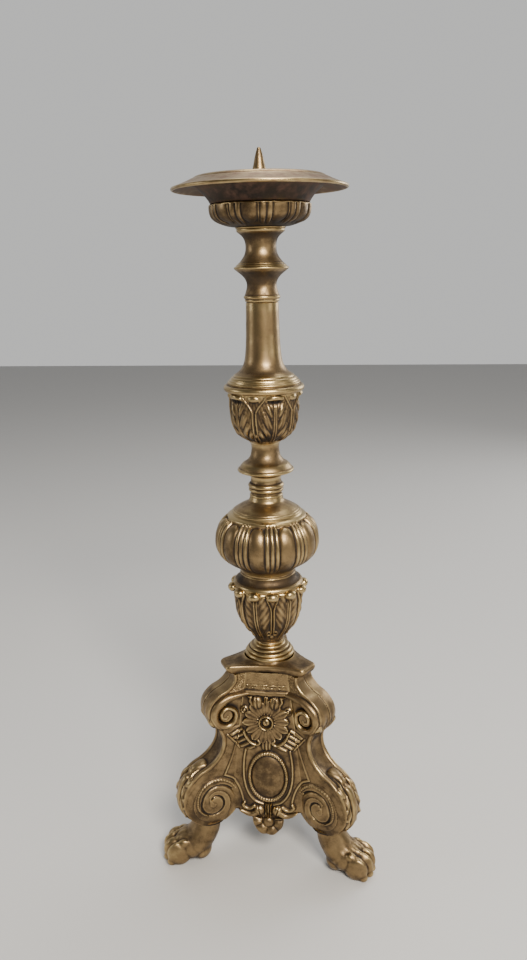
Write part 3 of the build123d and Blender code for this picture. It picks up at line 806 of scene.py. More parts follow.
def leaf_relief(angle, radius, height):
    up = (height - z - 1) / (top - z - 2)
    arc = tau * radius / BROAD_LEAVES
    from_rib = np.abs(tooth(angle, BROAD_LEAVES, LEAF_PLACE)) * arc
    from_fork = arc / 2 - from_rib
    fork = 0.9 + 8.0 * ease(up, 0.64, 1.08)
    edge = 1.3 * rounded(from_fork - fork, 1.0)
    between = (from_fork < fork) * -0.8
    under_tip = height - top
    midrib = rounded(from_rib - 0.85 * (1 - 0.4 * up), 0.75)
    blades = np.zeros(np.shape(height))
    for start, end, size in (((2.6, 5.0), (8.6, 14.0), 1.7), ((2.8, 10.5), (7.6, 21.5), 2.4),
                             ((2.4, 19.0), (5.6, 27.0), 1.7), ((6.0, 3.8), (10.6, 9.8), 1.3)):
        blade, share = along(from_rib, height - z, [start, end])
        blades = np.maximum(blades, 1.35 * rounded(blade, size) * np.sin(0.25 + share * 2.6))
    veins = 0.10 * np.sin(from_rib * 2.6 - (height - z) * 0.9)
    roll = 2.4 * domed(from_rib / 6.4, (under_tip + 1.7 + 0.035 * from_rib**2) / 2.0)
    shade = -1.7 * dimple(from_rib / 4.2, (under_tip + 5.4) / 1.5)
    back = 1.7 * domed(from_fork / 4.2, (under_tip + 2.8) / 2.2)
    pearl = 1.5 * domed(from_fork / 1.4, (height - z - 6.4) / 1.9)
    body = np.maximum.reduce([edge + between, midrib, blades + veins + 0.15, roll, back - 0.4, pearl])
    window = ease(height, z + 0.3, z + 2.2) * (1 - ease(height, top - 0.5, top))
    return (body + shade - 0.8) * window


leafed = raise_relief(turned("upper_vase_cast", solid(body), steps=432), leaf_relief)
finish_piece(leafed, "upper_vase", "cast_brass", grime_and_shade=0.10)

# %% [markdown]
# ## The drip pan and the spike
# The pan catches wax. Its brim slopes down and out from a bead round the well, and patches of red
# tarnish lie all over it. Its underside and the throat under the brim are darkened with painted shade.
# The pan rides on its own body and lifts off.

# %% Drip pan
z = low("drip_pan")
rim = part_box("drip_pan")[1].x / MM
shoulder = high("cup") + 0.3
pan_outline = joined(
    [(6.4, z), (18, z), (29.7, z)],
    bow((29.7, z), (29.9, z + 0.3), 0.05),
    [(29.9, shoulder), (31.3, shoulder)],
    sweep((31.5, shoulder + 0.2), (32.6, z + 6.4), (34.6, z + 9.0), (36.8, z + 11.2), (38.9, z + 13.0),
          (40.2, z + 14.5), (41.3, z + 16.3)),
    bow((42.2, z + 16.8), (rim - 1.6, z + 12.3), -0.5, gap=0.9),
    bow((rim - 1.4, z + 12.2), (rim - 0.4, z + 13.9), 0.55),
    bow((rim - 0.7, z + 14.2), (43.7, z + 18.9), -0.25, gap=0.9),
    [(43.2, z + 18.5), (42.7, z + 18.6), (42.4, z + 19.2)],
    bow((42.2, z + 19.4), (36.0, z + 19.1), 1.5),
    sweep((35.8, z + 18.8), (35.8, z + 16.4), (34.6, z + 12.9), (32.4, z + 9.4), (30.2, z + 6),
          (28.6, z + 3.2)),
    bow((28.6, z + 3.2), (27.0, z + 2.2), -0.3),
    [(18, z + 2.2), (6.4, z + 2.2), (6.4, z)],
)
pan = turned("drip_pan_turned", pan_outline, steps=200)
# painted shade: the throat under the brim is darkened as the darkest place on the candlestick, for the shade
# under the brim
pan_points, _ = points_of(pan)
shaded_throat = (np.hypot(*pan_points.T[:2]) < 41.5) & (pan_points[:, 2] < z + 16.6)
finish_piece(pan, "drip_pan", "pan_brass", body="pan", underside_shade=0.12, grime_and_shade=0.06 + 0.70 * shaded_throat)

# %% Spike
z = low("pricket")
tip = high("pricket")
spike = joined(
    [(9, z), (9, z + 2.8), (8.8, z + 3), (6.0, z + 3)],
    sweep((5.9, z + 3.2), (5.8, z + 8), (5.5, z + 15), (4.9, z + 23), (4.2, z + 29.5), (3.6, z + 32),
          (2.75, z + 36), (1.95, z + 39), (1.25, tip - 0.9)),
    bow((1.25, tip - 0.9), (0.12, tip), 0.35, gap=0.2),
)
finish_piece(turned("pricket_turned", solid(spike), steps=72), "pricket", "spike_brass")

# %% [markdown]
# ## A sheet of faces for the base
# The cap, the legs and the panels aren't round, so they can't be spun. Each starts as a fine grid whose
# vertices are carried to their places by a rule, as sheet wax is laid over a core before casting. The
# grid's edges then meet and are welded, or are folded back and closed.

# %% Shape a grid


def laid_sheet(name, columns, rows, rule, smooth_angle=50):
    """A grid of faces whose vertices go to rule(u, v), in millimetres, with u and v from 0 to 1."""
    start_clean()
    bpy.ops.mesh.primitive_grid_add(x_subdivisions=columns, y_subdivisions=rows, size=1)
    piece = bpy.context.object
    piece.name = name
    place, _ = points_of(piece)
    set_points(piece, rule(place[:, 0] * MM + 0.5, place[:, 1] * MM + 0.5))
    with editing():
        bpy.ops.mesh.remove_doubles(threshold=WELD_GAP)
        bpy.ops.mesh.fill_holes(sides=0)
    return close_up(piece, smooth_angle)


def finish_copies(piece, angles, slot, wear_and_shade=None):
    """Finishes one piece modelled along +X, and turns a copy of it to each node's angle."""
    measure_hollows(piece, grime_and_shade=wear_and_shade(points_of(piece)[0]) if wear_and_shade else 0.0)
    coat(piece, BRASS[slot])
    for node, angle in angles.items():
        copy = copy_of(piece, Matrix.Rotation(radians(angle), 4, "Z"))
        copy.name = node + "_cast"
        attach(copy, "stand")
        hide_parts(node)
    print(f"{piece.name}: {len(piece.data.polygons)} faces, {len(angles)} copies")
    bpy.data.objects.remove(piece)


def stipple(a, b):
    """Sandy ground between raised ornament, made by punching the mould, from -1 to 1."""
    return np.sin(3.3 * a + 1.6 * np.sin(2.3 * b)) * np.sin(3.0 * b + 1.8 * np.sin(2.1 * a))

# %% [markdown]
# ## The cap of the base
# The cap is three-sided with hollow sides and cut corners. Its edge is a full round moulding, and from
# there the top sweeps up to the foot of the stem.

# %% Base cap
CAP_CORNER = 36.0
CAP_CUT = 7.9
CAP_HOLLOW = 20.0
CUT_SHARE = 0.22
STEM_FOOT = 17.6
cap_low = low("base_cap")
cap_high = FLOOR["foot_ring"]
cut_along = CAP_CORNER * 0.5 + CAP_CUT * COS_30
cut_across = CAP_CORNER * COS_30 - CAP_CUT * 0.5
sag = cut_along - CAP_HOLLOW
side_radius = (cut_across**2 + sag**2) / (2 * sag)


def cap_outline(u):
    """The plan of the cap: three cut corners and three hollow sides, as u runs round from 0 to 1."""
    third = np.floor(u * 3)
    share = u * 3 - third
    on_cut = share < CUT_SHARE
    t = -(1 - 2 * (share - CUT_SHARE) / (1 - CUT_SHARE)) * cut_across
    d = CAP_HOLLOW + side_radius - np.sqrt(side_radius**2 - t**2)
    x = np.where(on_cut, CAP_CORNER, d * 0.5 - t * COS_30)
    y = np.where(on_cut, (share / CUT_SHARE * 2 - 1) * CAP_CUT, d * COS_30 + t * 0.5)
    corner = third * tau / 3 + pi / 2
    return x * np.cos(corner) - y * np.sin(corner), x * np.sin(corner) + y * np.cos(corner)


# the edge moulding by its distance in from the outline and its height, and then the slope up to the stem
edge_profile = sweep(
    (5.0, cap_low), (3.4, cap_low + 0.1), (2.2, cap_low + 0.6), (1.1, cap_low + 1.6), (0.3, cap_low + 3.0),
    (0.0, cap_low + 4.3), (0.3, cap_low + 5.4), (1.1, cap_low + 6.1), (2.1, cap_low + 6.4), gap=0.3,
)
edge_in, edge_up = zip(*edge_profile)
SLOPE_ROWS = 36
CORNER_BLEND = 0.013
slope_share = np.linspace(0.02, 1, SLOPE_ROWS)
slope_height = edge_up[-1] + (cap_high + 0.3 - edge_up[-1]) * (0.35 * slope_share + 0.65 * slope_share**2.2)
inset_row = np.array([7.0, *edge_in] + [edge_in[-1]] * SLOPE_ROWS + [7.0])
share_row = np.array([1.0] + [0.0] * len(edge_profile) + [*slope_share, 1.0])
height_row = np.array([cap_low, *edge_up, *slope_height, cap_low])
cap_rows = np.linspace(0, 1, len(height_row))


def cap_rule(u, v):
    x, y = np.mean([cap_outline(u + step) for step in np.linspace(-CORNER_BLEND, CORNER_BLEND, 9)], axis=0)
    around, reach = np.arctan2(y, x), np.hypot(x, y)
    reach = np.maximum(reach - np.interp(v, cap_rows, inset_row), STEM_FOOT + 0.05)
    reach = reach + (STEM_FOOT - reach) * np.interp(v, cap_rows, share_row)
    height = np.interp(v, cap_rows, height_row)
    return np.column_stack([reach * np.cos(around), reach * np.sin(around), height])


cap = laid_sheet("base_cap_cast", 420, len(height_row) - 1, cap_rule, smooth_angle=40)
apply_modifier(cap, "SMOOTH", factor=0.5, iterations=10)
finish_piece(cap, "base_cap", "cast_brass")

# %% [markdown]
# ## The scroll legs
# A leg is a broad S-shaped ribbon between two flat flanks. It starts in a small volute at the shoulder
# and ends in a large one at the knee, with acanthus leaves laid over both. The grid goes round each
# level of the leg in turn: inner edge, one flank, the ribbon, and the other flank.

# %% Outline of a leg, seen from its side
LEG_HALF = 9.0  # half the width of its ribbon
VOLUTE = (50.5, 53.5)
VOLUTE_RADIUS = 22.0
SEAT = low("corner_scroll_left")
LEG_TOP = high("corner_scroll_left")
LEG_ROUND = 1.0  # the radius of its long edges
outer_curve = sweep(
    (31, 150), (31, 144.5), (36.5, 138.5), (44.6, 134.3), (50.0, 128.5), (51.6, 121), (48.6, 113.4),
    (43.2, 106.5), (40.8, 99.5), (42.0, 91.5), (46.4, 84.8), (53.0, 79.4), (61.8, 74.9), (69.2, 67.3),
    (72.5, 57), (71.4, 46.8), (66.4, 38.6), (59.7, 33.0), gap=0.2,
)
inner_curve = [(14.5, 150), (28.5, 53.5)] + [
    (VOLUTE[0] - VOLUTE_RADIUS * cos(t), VOLUTE[1] - VOLUTE_RADIUS * sin(t))
    for t in np.linspace(0.1, 1.17, 12)
]
outer_r, outer_z = np.array(outer_curve).T
inner_r, inner_z = np.array(inner_curve).T
outer_step = np.hypot(np.diff(outer_r), np.diff(outer_z))
outer_slope = np.abs(np.diff(outer_r)) / np.maximum(outer_step, 1e-6)
outer_run = np.concatenate([[0], np.cumsum(outer_step)])
top_run = np.interp(-LEG_TOP, -outer_z, outer_run)
seat_run = np.interp(-SEAT, -outer_z, outer_run)

# %% Ornament of a leg's flank
SPIRAL_CENTRE = (50.0, 50.0)
# each spiral as its turns in degrees and its reach at each of them
CURL = ([60, 90, 199, 261, 389, 458, 556, 584, 620], [4.2, 6.0, 7.4, 8.1, 9.9, 13.8, 17.8, 20.6, 24.0])
BEADED = ([300, 320, 378, 424, 467, 512, 552, 590], [9.6, 10.4, 13.0, 16.8, 18.9, 19.0, 20.4, 23.5])
EYE = (38.4, 119.4)
EYE_COIL = [
    (EYE[0] + reach * cos(radians(turn)), EYE[1] + reach * sin(radians(turn)))
    for turn, reach in (
        (-500, 1.0), (-440, 2.2), (-380, 3.1), (-320, 4.2), (-260, 5.5), (-200, 6.9), (-165, 7.8))
]
VOLUTE_BAND = sweep(
    *EYE_COIL, (32.4, 113.4), (35.0, 111.2), (38.6, 110.4), (42.6, 111.6), (45.9, 115.0), (47.0, 119.6),
    (46.0, 124.4), (42.4, 128.7), (36.8, 131.6), (30, 133.2), (22, 133.8),
)
BORDER = sweep((29.0, 104), (30.6, 98), (32.2, 92), (35.2, 83.5), (40.7, 71.0))
VOLUTE_LINE = sweep((30.9, 70.9), (25.6, 67.0), (21.6, 61.2), (19.2, 55), (17.8, 48.5), (17.4, 43))
ROSETTE = (-0.3, 112.5)
RIB_GAP = 3.92


def spiral_offset(x, z, line):
    """How far outside the nearest turn of a spiral line a point lies, and 99 past the line's ends."""
    turns, radii = np.radians(line[0]), line[1]
    dx, dz = x - SPIRAL_CENTRE[0], z - SPIRAL_CENTRE[1]
    distance, angle = np.hypot(dx, dz), np.arctan2(dz, dx) % tau
    best = np.full(np.shape(x), 99.0)
    for turn in range(2):
        total = angle + tau * turn
        offset = distance - np.interp(total, turns, radii)
        offset = np.where((total < turns[0]) | (total > turns[-1]), 99.0, offset)
        best = np.where(np.abs(offset) < np.abs(best), offset, best)
    return best


def outer_volute_line(across, z):
    """The thin raised line that runs from the leg's border round the volute and on to the panel."""
    return along(np.abs(across), z, VOLUTE_LINE)[0]


def fan_ribs(across, z):
    """A comb of short thick ribs on each side below the rosette, which slope down and out."""
    dx = np.abs(across)
    down = -(0.47 * dx + 0.88 * z) + 103.8
    out = 0.88 * dx - 0.47 * z + 34.2 + 0.105 * down
    inside = (down > 0) & (down < 19.6) & (out > -0.5) & (out < 9.6)
    rib = rounded((down / RIB_GAP % 1 - 0.5) * RIB_GAP, 1.35) * domed(np.clip((out - 7.6) / 2.0, 0, 1))
    hem = rounded(out - 10.4, 0.75) * ease(down, -1.0, 0.2) * (1 - ease(down, 19.4, 20.6))
    return np.maximum(np.where(inside, rib * 1.5, 0), hem * 0.9), inside


def flank_relief(r, z):
    """Height of a leg's flank. r is the distance from the stem's axis."""
    slope = np.interp(-z, -outer_z[1:], outer_slope)
    edge = (np.interp(-z, -outer_z, outer_r) - r) * np.sqrt(np.clip(1 - slope**2, 0.04, 1))
    lift = 0.55 * (1 - ease(edge, 1.4, 2.6)) * ease(z, 60, 74)
    # lower volute: a domed curl with a groove round it, and a fine beaded ridge further out
    away = np.hypot(r - SPIRAL_CENTRE[0], z - SPIRAL_CENTRE[1])
    around = np.arctan2(z - SPIRAL_CENTRE[1], r - SPIRAL_CENTRE[0])
    offset = spiral_offset(r, z, CURL)
    dome = 2.4 * (1 - (np.clip(away, 0, 21) / 21) ** 2)
    step = np.where(np.abs(offset) < 6, 0.55 * (ease(offset, 0.2, 5.5) - 0.5), 0)
    beading = 0.75 + 0.25 * np.sin(around * 50)
    lift += dome + step - 1.1 * rounded(offset - 0.2, 0.85)
    lift += 0.85 * rounded(spiral_offset(r, z, BEADED), 0.8) * beading * (away < 24)
    # border between the flank and the panel
    across = COS_30 * r - LEG_HALF / 2
    line, _ = along(r, z, BORDER)
    lift += 0.9 * rounded(np.minimum(line, outer_volute_line(across, z)), 0.8)
    # upper volute
    band, share = along(r, z, VOLUTE_BAND)
    width = np.interp(share, [0, 0.2, 0.4, 0.5, 0.7, 1], [1.5, 1.8, 2.1, 2.7, 3.3, 2.2])
    eye = np.hypot(r - EYE[0], z - EYE[1])
    shoulder = ease(z, 106, 109.5) * (1 - ease(z, 134, 137))
    ground = -0.9 * (1 - ease(r, 40, 47)) * ease(z, 106.5, 108.5) * (1 - ease(z, 130, 132))
    volute = np.maximum(3.1 * rounded(band, width), 2.5 * (1 - ease(eye, 4.0, 5.8)))
    lift += shoulder * (volute + ground * (volute < 0.4))
    # sandy ground of the frieze and around the ornament
    frieze = ease(z, 135.8, 136.6) * ease(edge, 2.0, 2.8)
    lift += frieze * (stipple(r, z) * 0.28 - 0.3)
    ribs, inside = fan_ribs(across, z)
    lift += np.where((r < 38) & (z < 108), ribs - 0.4 * inside, 0)
    return lift

# %% Leaves and hollow of a leg's ribbon


def shoulder_leaf(y, up):
    """A broad leaf with a shallow middle fold. It ends in three lobes that roll over the volute."""
    folds = 0.32 * np.cos(y * tau / 5.6) * ease(up, 0.35, 0.85)
    fold = 0.5 * rounded(y, 0.8) * (1 - ease(up, 0.7, 0.9))
    body = 0.9 * (1 - (y / LEG_HALF) ** 2) * ease(up, 0.05, 0.35) + folds - fold
    hem = 0.90 + 0.055 * np.cos(y * tau / 5.6)
    roll = 1.6 * rounded(up - hem + 0.055, 0.06)
    pits = -1.3 * dimple(np.abs(y) - 2.8, (up - 0.80) / 0.05)
    return np.where(up < hem, np.maximum(body, roll) + pits, 0) + np.where(up >= hem, roll, 0)


def knee_leaf(y, z):
    """A leaf whose tip curls forward over the knee, with a ridge, two deep folds and side lobes."""
    side = np.abs(y)
    up = (z - 35) / 43.0
    half = 5.0 + 3.2 * np.sin(np.clip(up, 0, 1) * pi) + 0.5 * np.sin(z * 0.9)
    inside = (1 - ease(side, half - 0.8, half + 0.1)) * ease(z, 35, 38) * (1 - ease(z, 76, 79.5))
    ridge = 1.5 * rounded(y, 2.9)
    fold = -0.9 * rounded(side - 3.5, 0.9) * ease(z, 40, 46)
    lobes = 0.75 * np.sin((z + side * 1.1) * tau / 9.5) * ease(side, 3.6, 5.2)
    body = (1.0 + ridge + fold + lobes) * inside
    tip = 3.3 * domed(y / 4.6, (z - 77.0 - 0.06 * y**2) / 3.1)
    under = -1.3 * dimple((z - 72.2) / 1.3, (side - 1.6) / 2.2)
    side_tips = 1.5 * domed((side - 6.6) / 1.9, (z - 70) / 3.4)
    return np.maximum.reduce([body + under, tip, side_tips])


def ribbon_relief(y, z):
    """Height of the ribbon between the flanks, at a distance y from its middle."""
    hollow = -1.15 * (1 - (y / 8) ** 2) * ease(z, 74, 84) * (1 - ease(z, 99, 106))
    rims = 0.6 * rounded(np.abs(y) - 7.3, 1.3) * ease(z, 70, 78) * (1 - ease(z, 104, 108))
    return hollow + rims + shoulder_leaf(y, np.clip((150.5 - z) / 44.0, 0, 1.2)) + knee_leaf(y, z)

# %% Leg
LEG_ROWS = 330
COLUMNS = {"inner edge": 6, "flank": 96, "corner": 5, "ribbon": 40, "other corner": 5, "other flank": 96}
counts = np.array(list(COLUMNS.values()))
stops = np.concatenate([[0], np.cumsum(counts)]) / counts.sum()


def leg_rule(u, v):
    run = top_run + v * (seat_run - top_run)
    z = np.interp(run, outer_run, outer_z)
    outer = np.interp(run, outer_run, outer_r)
    inner = np.interp(-z, -inner_z, inner_r)
    ahead = np.interp(run + 0.4, outer_run, outer_r) - np.interp(run - 0.4, outer_run, outer_r)
    fall = np.interp(run - 0.4, outer_run, outer_z) - np.interp(run + 0.4, outer_run, outer_z)
    size = np.maximum(np.hypot(ahead, fall), 1e-6)
    normal_r, normal_z = fall / size, ahead / size
    r, y, up = np.zeros_like(u), np.zeros_like(u), np.zeros_like(u)
    share = [np.clip((u - a) / (b - a), 0, 1) for a, b in zip(stops, stops[1:])]
    part = np.clip(np.searchsorted(stops, u - 1e-7, side="right") - 1, 0, 5)
    back = part == 0
    r[back], y[back] = inner[back], (-LEG_HALF + 2 * LEG_HALF * share[0])[back]
    for index, side in ((1, 1), (5, -1)):
        here = part == index
        q = share[index] if side > 0 else 1 - share[index]
        rr = inner + (outer - LEG_ROUND - inner) * q
        yy = side * (LEG_HALF + flank_relief(rr, z))
        r[here], y[here] = rr[here], yy[here]
    for index, side in ((2, 1), (4, -1)):
        here = part == index
        turn = (share[index] if side > 0 else 1 - share[index]) * pi / 2
        lift_side = flank_relief(outer - LEG_ROUND, z) * np.cos(turn)
        lift_out = ribbon_relief(np.full_like(z, LEG_HALF - LEG_ROUND), z) * np.sin(turn)
        rr = outer - LEG_ROUND + LEG_ROUND * np.sin(turn) + lift_out * normal_r
        yy = side * (LEG_HALF - LEG_ROUND + LEG_ROUND * np.cos(turn) + lift_side)
        r[here], y[here], up[here] = rr[here], yy[here], (lift_out * normal_z)[here]
    here = part == 3
    yy = (LEG_HALF - LEG_ROUND) * (1 - 2 * share[3])
    lift = ribbon_relief(yy, z)
    r[here], y[here], up[here] = (outer + lift * normal_r)[here], yy[here], (lift * normal_z)[here]
    settled = np.clip((z - SEAT) / 2, 0, 1) * np.clip(LEG_TOP - z, 0, 1)
    return np.column_stack([r, y, z + up * settled])


def frieze_polish(place):
    """The sandy frieze under the cap is rubbed bright."""
    return -0.30 * ease(place[:, 2], 135.5, 137)


CORNERS = {"left": 210, "right": 330, "rear": 90}
leg = laid_sheet("corner_scroll_cast", int(counts.sum()), LEG_ROWS, leg_rule)
leg_places = {"corner_scroll_" + name: angle for name, angle in CORNERS.items()}
print("corners of the base, in degrees:", CORNERS)
finish_copies(leg, leg_places, "cast_brass", wear_and_shade=frieze_polish)

# %% [markdown]
# ## The side panels
# Each panel is a thin plate in high relief between two legs: a sandy frieze, a smooth band that runs into
# the volutes, a rosette with leaves and a garland, a plain oval boss in two frames, and a pendant with two
# curls over a shell. The front sheet takes its relief from one formula, and its edge is folded back.

# %% Parts of the panel's relief
PANEL_TOP = high("side_panel_front")
PANEL_BOTTOM = low("side_panel_front")
SHELL = (0.6, 34.0)
SHELL_REACH = 11.9
OVAL = (0.6, 69.5)
BOSS = (12.3, 16.9)
PETALS = 14
THIN_FRAME = sweep(
    (4, 47.4), (9.6, 49.6), (14.6, 56.0), (17.4, 65.5), (17.9, 75), (17.4, 83), (16.2, 90),
)


def panel_distance(z):
    """How far the panel's ground lies from the stem's axis."""
    return 27.0 - 0.0728 * (z - 35)


def panel_half_width(z):
    """Half the panel's width: a shell, two leaf tips, and then the full width between the legs."""
    full = COS_30 * (panel_distance(z) - 7.79) / 0.5 - LEG_HALF / 2 + 0.9
    shell = np.sqrt(np.clip(11.7**2 - (z - SHELL[1]) ** 2, 0.01, None))
    tips = np.interp(z, [34.0, 36.0, 37.2, 38.6, 40.2, 41.6, 42.6], [0, 12.0, 16.0, 19.6, 21.4, 23.0, 28.4])
    return np.where(z > 42.6, full, np.maximum(np.where(z < SHELL[1] + 2, shell, 0), tips))


def petal(x, z, angle, start, end, width):
    """A spoon-shaped petal that points away from a centre at the origin."""
    run = x * cos(angle) + z * sin(angle)
    off = np.abs(-x * sin(angle) + z * cos(angle))
    up = np.clip((run - start) / (end - start), 0, 1)
    half = width * (0.35 + 0.65 * np.sin((up * 0.8 + 0.05) * pi / 1.1)) * domed(up**3)
    inside = (run > start) & (run < end) & (off < half)
    side = off / np.maximum(half, 0.05)
    return np.where(inside, domed(side**2) * (0.75 + 0.5 * up) - 0.55 * (1 - side) * up, 0)


def oval_reach(x, z, half_x, half_z):
    """0 in the middle of an oval and 1 on its edge."""
    return np.hypot((x - OVAL[0]) / half_x, (z - OVAL[1]) / half_z)


def knob(reach, height, cut=0.0):
    """A round knob of this height where reach is below 1, less what is cut into it."""
    return np.where(reach < 1, height * domed(reach) - cut, 0)


def rosette_relief(x, z):
    """Two rings of petals round a button, with the leaves above it."""
    dx, dz = x - ROSETTE[0], z - ROSETTE[1]
    reach = np.hypot(dx, dz)
    bud = np.hypot(dx / 1.7, (dz - 15.6) / 5.6)
    parts = [knob(bud, 2.6, 0.7 * rounded(dx, 0.45))]
    for k in range(PETALS):
        parts.append(petal(dx, dz, k * tau / PETALS + 0.05, 5.6, 16.4 + 0.9 * (k % 2), 3.5) * 2.2)
    for side in (-1, 1):
        lobe = np.hypot((dx - side * 6.3) / 4.0, (dz - 14.6) / 5.4)
        notch = 0.8 * rounded(dx - side * (6.3 + 0.16 * (dz - 14)), 0.8)
        tip = [(side * 9.6, 12.6), (side * 11.6, 15.6), (side * 10.9, 18.6), (side * 13.2, 19.6)]
        small = np.hypot(dx - side * 15.8, dz - 8.4)
        parts += [knob(lobe, 3.4, notch - 0.3), 2.1 * strand(dx, dz, tip, 1.25),
                  knob(small / 3.2, 1.7, 0.9 * rounded(small - 1.5, 0.6))]
    button = 1.6 + 1.2 * domed(reach / 2.7) - 0.9 * rounded(reach, 0.9)
    middle = np.where(reach < 3.9, np.maximum(button * (reach < 2.7), 0.7), 3.6 * rounded(reach - 4.9, 1.0))
    beads = 0.5 * np.clip(np.cos(np.arctan2(dz, dx) * 18), 0, 1) * rounded(reach - 6.2, 0.8)
    return np.where(reach < 5.7, middle, np.maximum.reduce(parts) + beads)


def garland_relief(x, z):
    """Curled ribbons and a small leaf that hang between the rosette and the oval."""
    dx = np.abs(x - ROSETTE[0])
    curl = sweep((16.4, 104.5), (14.2, 99.6), (10.6, 95.8), (6.6, 94.8), (4.6, 96.6), (6.0, 98.4))
    leaf = knob(np.hypot(dx / 4.4, (z - 94.6) / 4.9), 2.3, -0.4 * np.cos(dx * 2.4))
    return np.maximum(2.6 * strand(dx, z, curl, 1.2), leaf)


def pendant_relief(x, z):
    """Two round curls with leaf tails over a shell of seven lobes."""
    dx, dz = x - SHELL[0], z - SHELL[1]
    ax = np.abs(dx)
    reach, around = np.hypot(dx, dz), np.arctan2(-dz, dx)
    lobe = np.abs(np.sin((around + 0.12) * 3.4))
    shell = (0.5 + 1.7 * lobe**0.7) * domed((reach / SHELL_REACH) ** 4) * ease(reach, 2.5, 7.5)
    shell = np.where((reach < SHELL_REACH) & (dz < 3), shell, 0) - 0.8 * rounded(reach - 4.3, 0.7)
    ball = np.hypot(ax - 6.6, z - 42.6) / 4.1
    off, share = along(ax, z, sweep((9.0, 40.4), (12.4, 38.8), (16.0, 39.3), (20.5, 41.2)))
    long_tail = (2.7 - 1.0 * share) * rounded(off, 2.5 - 1.2 * share)
    off, share = along(ax, z, sweep((10.4, 45.6), (13.2, 43.6), (16.4, 43.8), (18.8, 46.2), (17.6, 48.2)))
    curled_tail = 2.0 * rounded(off, 1.5 - 0.3 * share)
    stalk = np.where((z > 38) & (z < 48.5) & (ax < 2.6), 1.7 + 0.7 * np.cos(dx * tau / 1.75), 0)
    return np.maximum.reduce([
        shell, knob(reach / 3.7, 2.4, -1.2), knob(ball, 3.4, 0.8 * rounded(ax - 6.6 - 0.3 * (z - 42.6), 0.5)),
        long_tail, curled_tail, stalk,
    ])


def panel_relief(x, z):
    """Height of the panel over its ground."""
    # oval: dome, groove, ring, groove, thin frame that opens upwards
    inner = oval_reach(x, z, *BOSS)
    dome = 3.7 * np.sqrt(np.clip(1 - inner**2.3, 0, 1))
    roped = 1 + 0.10 * np.sin(np.arctan2(z - OVAL[1], x - OVAL[0]) * 60)
    ring = 2.2 * rounded(oval_reach(x, z, 13.6, 18.4) - 1, 0.098) * roped
    height = np.maximum(dome, ring) - 0.35 * rounded(oval_reach(x, z, 16.2, 21.6) - 1, 0.05)
    height = np.maximum(height, 1.2 * strand(np.abs(x - OVAL[0]), z, THIN_FRAME, 0.95))
    height = np.maximum(height, 0.9 * rounded(outer_volute_line(x, z), 0.8) * (z > 43))
    # rosette, fan and garland on a sunk sandy ground
    ax = np.abs(x)
    sunk = ease(z, 91, 94) * (1 - ease(z, 130.5, 132)) * (1 - ease(ax, 27, 28))
    ribs, _ = fan_ribs(x - ROSETTE[0], z)
    ornament = np.maximum.reduce([rosette_relief(x, z), garland_relief(x, z), ribs])
    ground = sunk * (0.7 - 0.3 * stipple(x, z) * (ornament < 0.2))
    height = np.where(sunk > 0, np.maximum(height - ground, ornament), height)
    # smooth band that joins the two volutes, and the frieze
    height = np.maximum(height, 1.5 * strand(ax, z, [(0, 133.6), (8, 133.9), (30, 133.9)], 2.1))
    frieze = ease(z, 135.8, 136.6)
    bars = 0.45 * rounded(z - 139.8 - 0.1 * np.sin(x), 0.5) + 0.35 * rounded(z - 137.9, 0.4)
    height = np.where(frieze > 0, frieze * (stipple(x * 1.1 + 5, z) * 0.34 + bars - 0.1), height)
    # border against the legs below the fan, then the pendant
    side = panel_half_width(z) - ax
    height -= 0.25 * rounded(side - 0.9, 1.0) * ((z > 43) & (z < 92))
    height -= ease(z, 134.5, 136.5) * (1 - ease(side, 0.2, 2.6))
    return np.maximum(height, np.where(z < 50, pendant_relief(x, z), 0))

# %% Panel
PANEL_COLUMNS, PANEL_ROWS, PANEL_WALL = 150, 340, 3.4
FOLD = 0.03  # the share of the sheet that is folded back at each side
level_list = np.concatenate([
    np.linspace(PANEL_BOTTOM + 0.75, 34.5, 40, endpoint=False),
    np.linspace(34.5, 43.5, 44, endpoint=False),
    np.linspace(43.5, PANEL_TOP + 0.4, 257),
])


def panel_rule(u, v):
    front = np.clip((u - FOLD) / (1 - 2 * FOLD), 0, 1)
    z = np.interp(v, np.linspace(0, 1, len(level_list)), level_list)
    x = (front * 2 - 1) * panel_half_width(z)
    rim = panel_half_width(z) - np.abs(x)
    free = 1 - ease(z, 42.2, 43.2)
    lift = panel_relief(x, z)
    lift = lift - free * 1.4 * (1 - ease(rim, 0, 1.3))
    folded = (u < FOLD - 1e-6) | (u > 1 - FOLD + 1e-6)
    low_edge = 1 - ease(z, PANEL_BOTTOM + 0.75, PANEL_BOTTOM + 2.0)
    out = panel_distance(z) + np.where(folded, -PANEL_WALL, lift - low_edge)
    x = np.where(folded, x * 0.985, x)
    return np.column_stack([out, x, z])


panel = laid_sheet("side_panel_cast", PANEL_COLUMNS, PANEL_ROWS, panel_rule)


def panel_shade_and_polish(place):
    """The boss is darkened as a painted dark reflection, the ground round the rosette is made darker, and the
    frieze is rubbed.
    """
    out, x, z = place.T
    # painted reflection: the boss is darkened for the dark room that its dome mirrors
    boss = 1 - ease(oval_reach(x, z, *BOSS), 0.75, 1.0)
    ground = ease(z, 89, 95) * (1 - ease(z, 129, 132)) * (1 - ease(np.abs(x), 20, 26))
    return (0.24 * boss + 0.10 * ground) * (out > 24) + frieze_polish(place)


PANEL_PLACES = {"side_panel_front": 270, "side_panel_left": 150, "side_panel_right": 30}
finish_copies(panel, PANEL_PLACES, "cast_brass", wear_and_shade=panel_shade_and_polish)

# %% [markdown]
# ## The paws
# A lion's paw stands under every leg. It's built as a sculptor blocks out clay: balls for ankle, heel,
# knuckles, toes and claws are joined and then fused by a voxel remesh, which leaves soft creases between
# the toes. Smoothing takes out the voxel steps, and the sole is pressed flat.

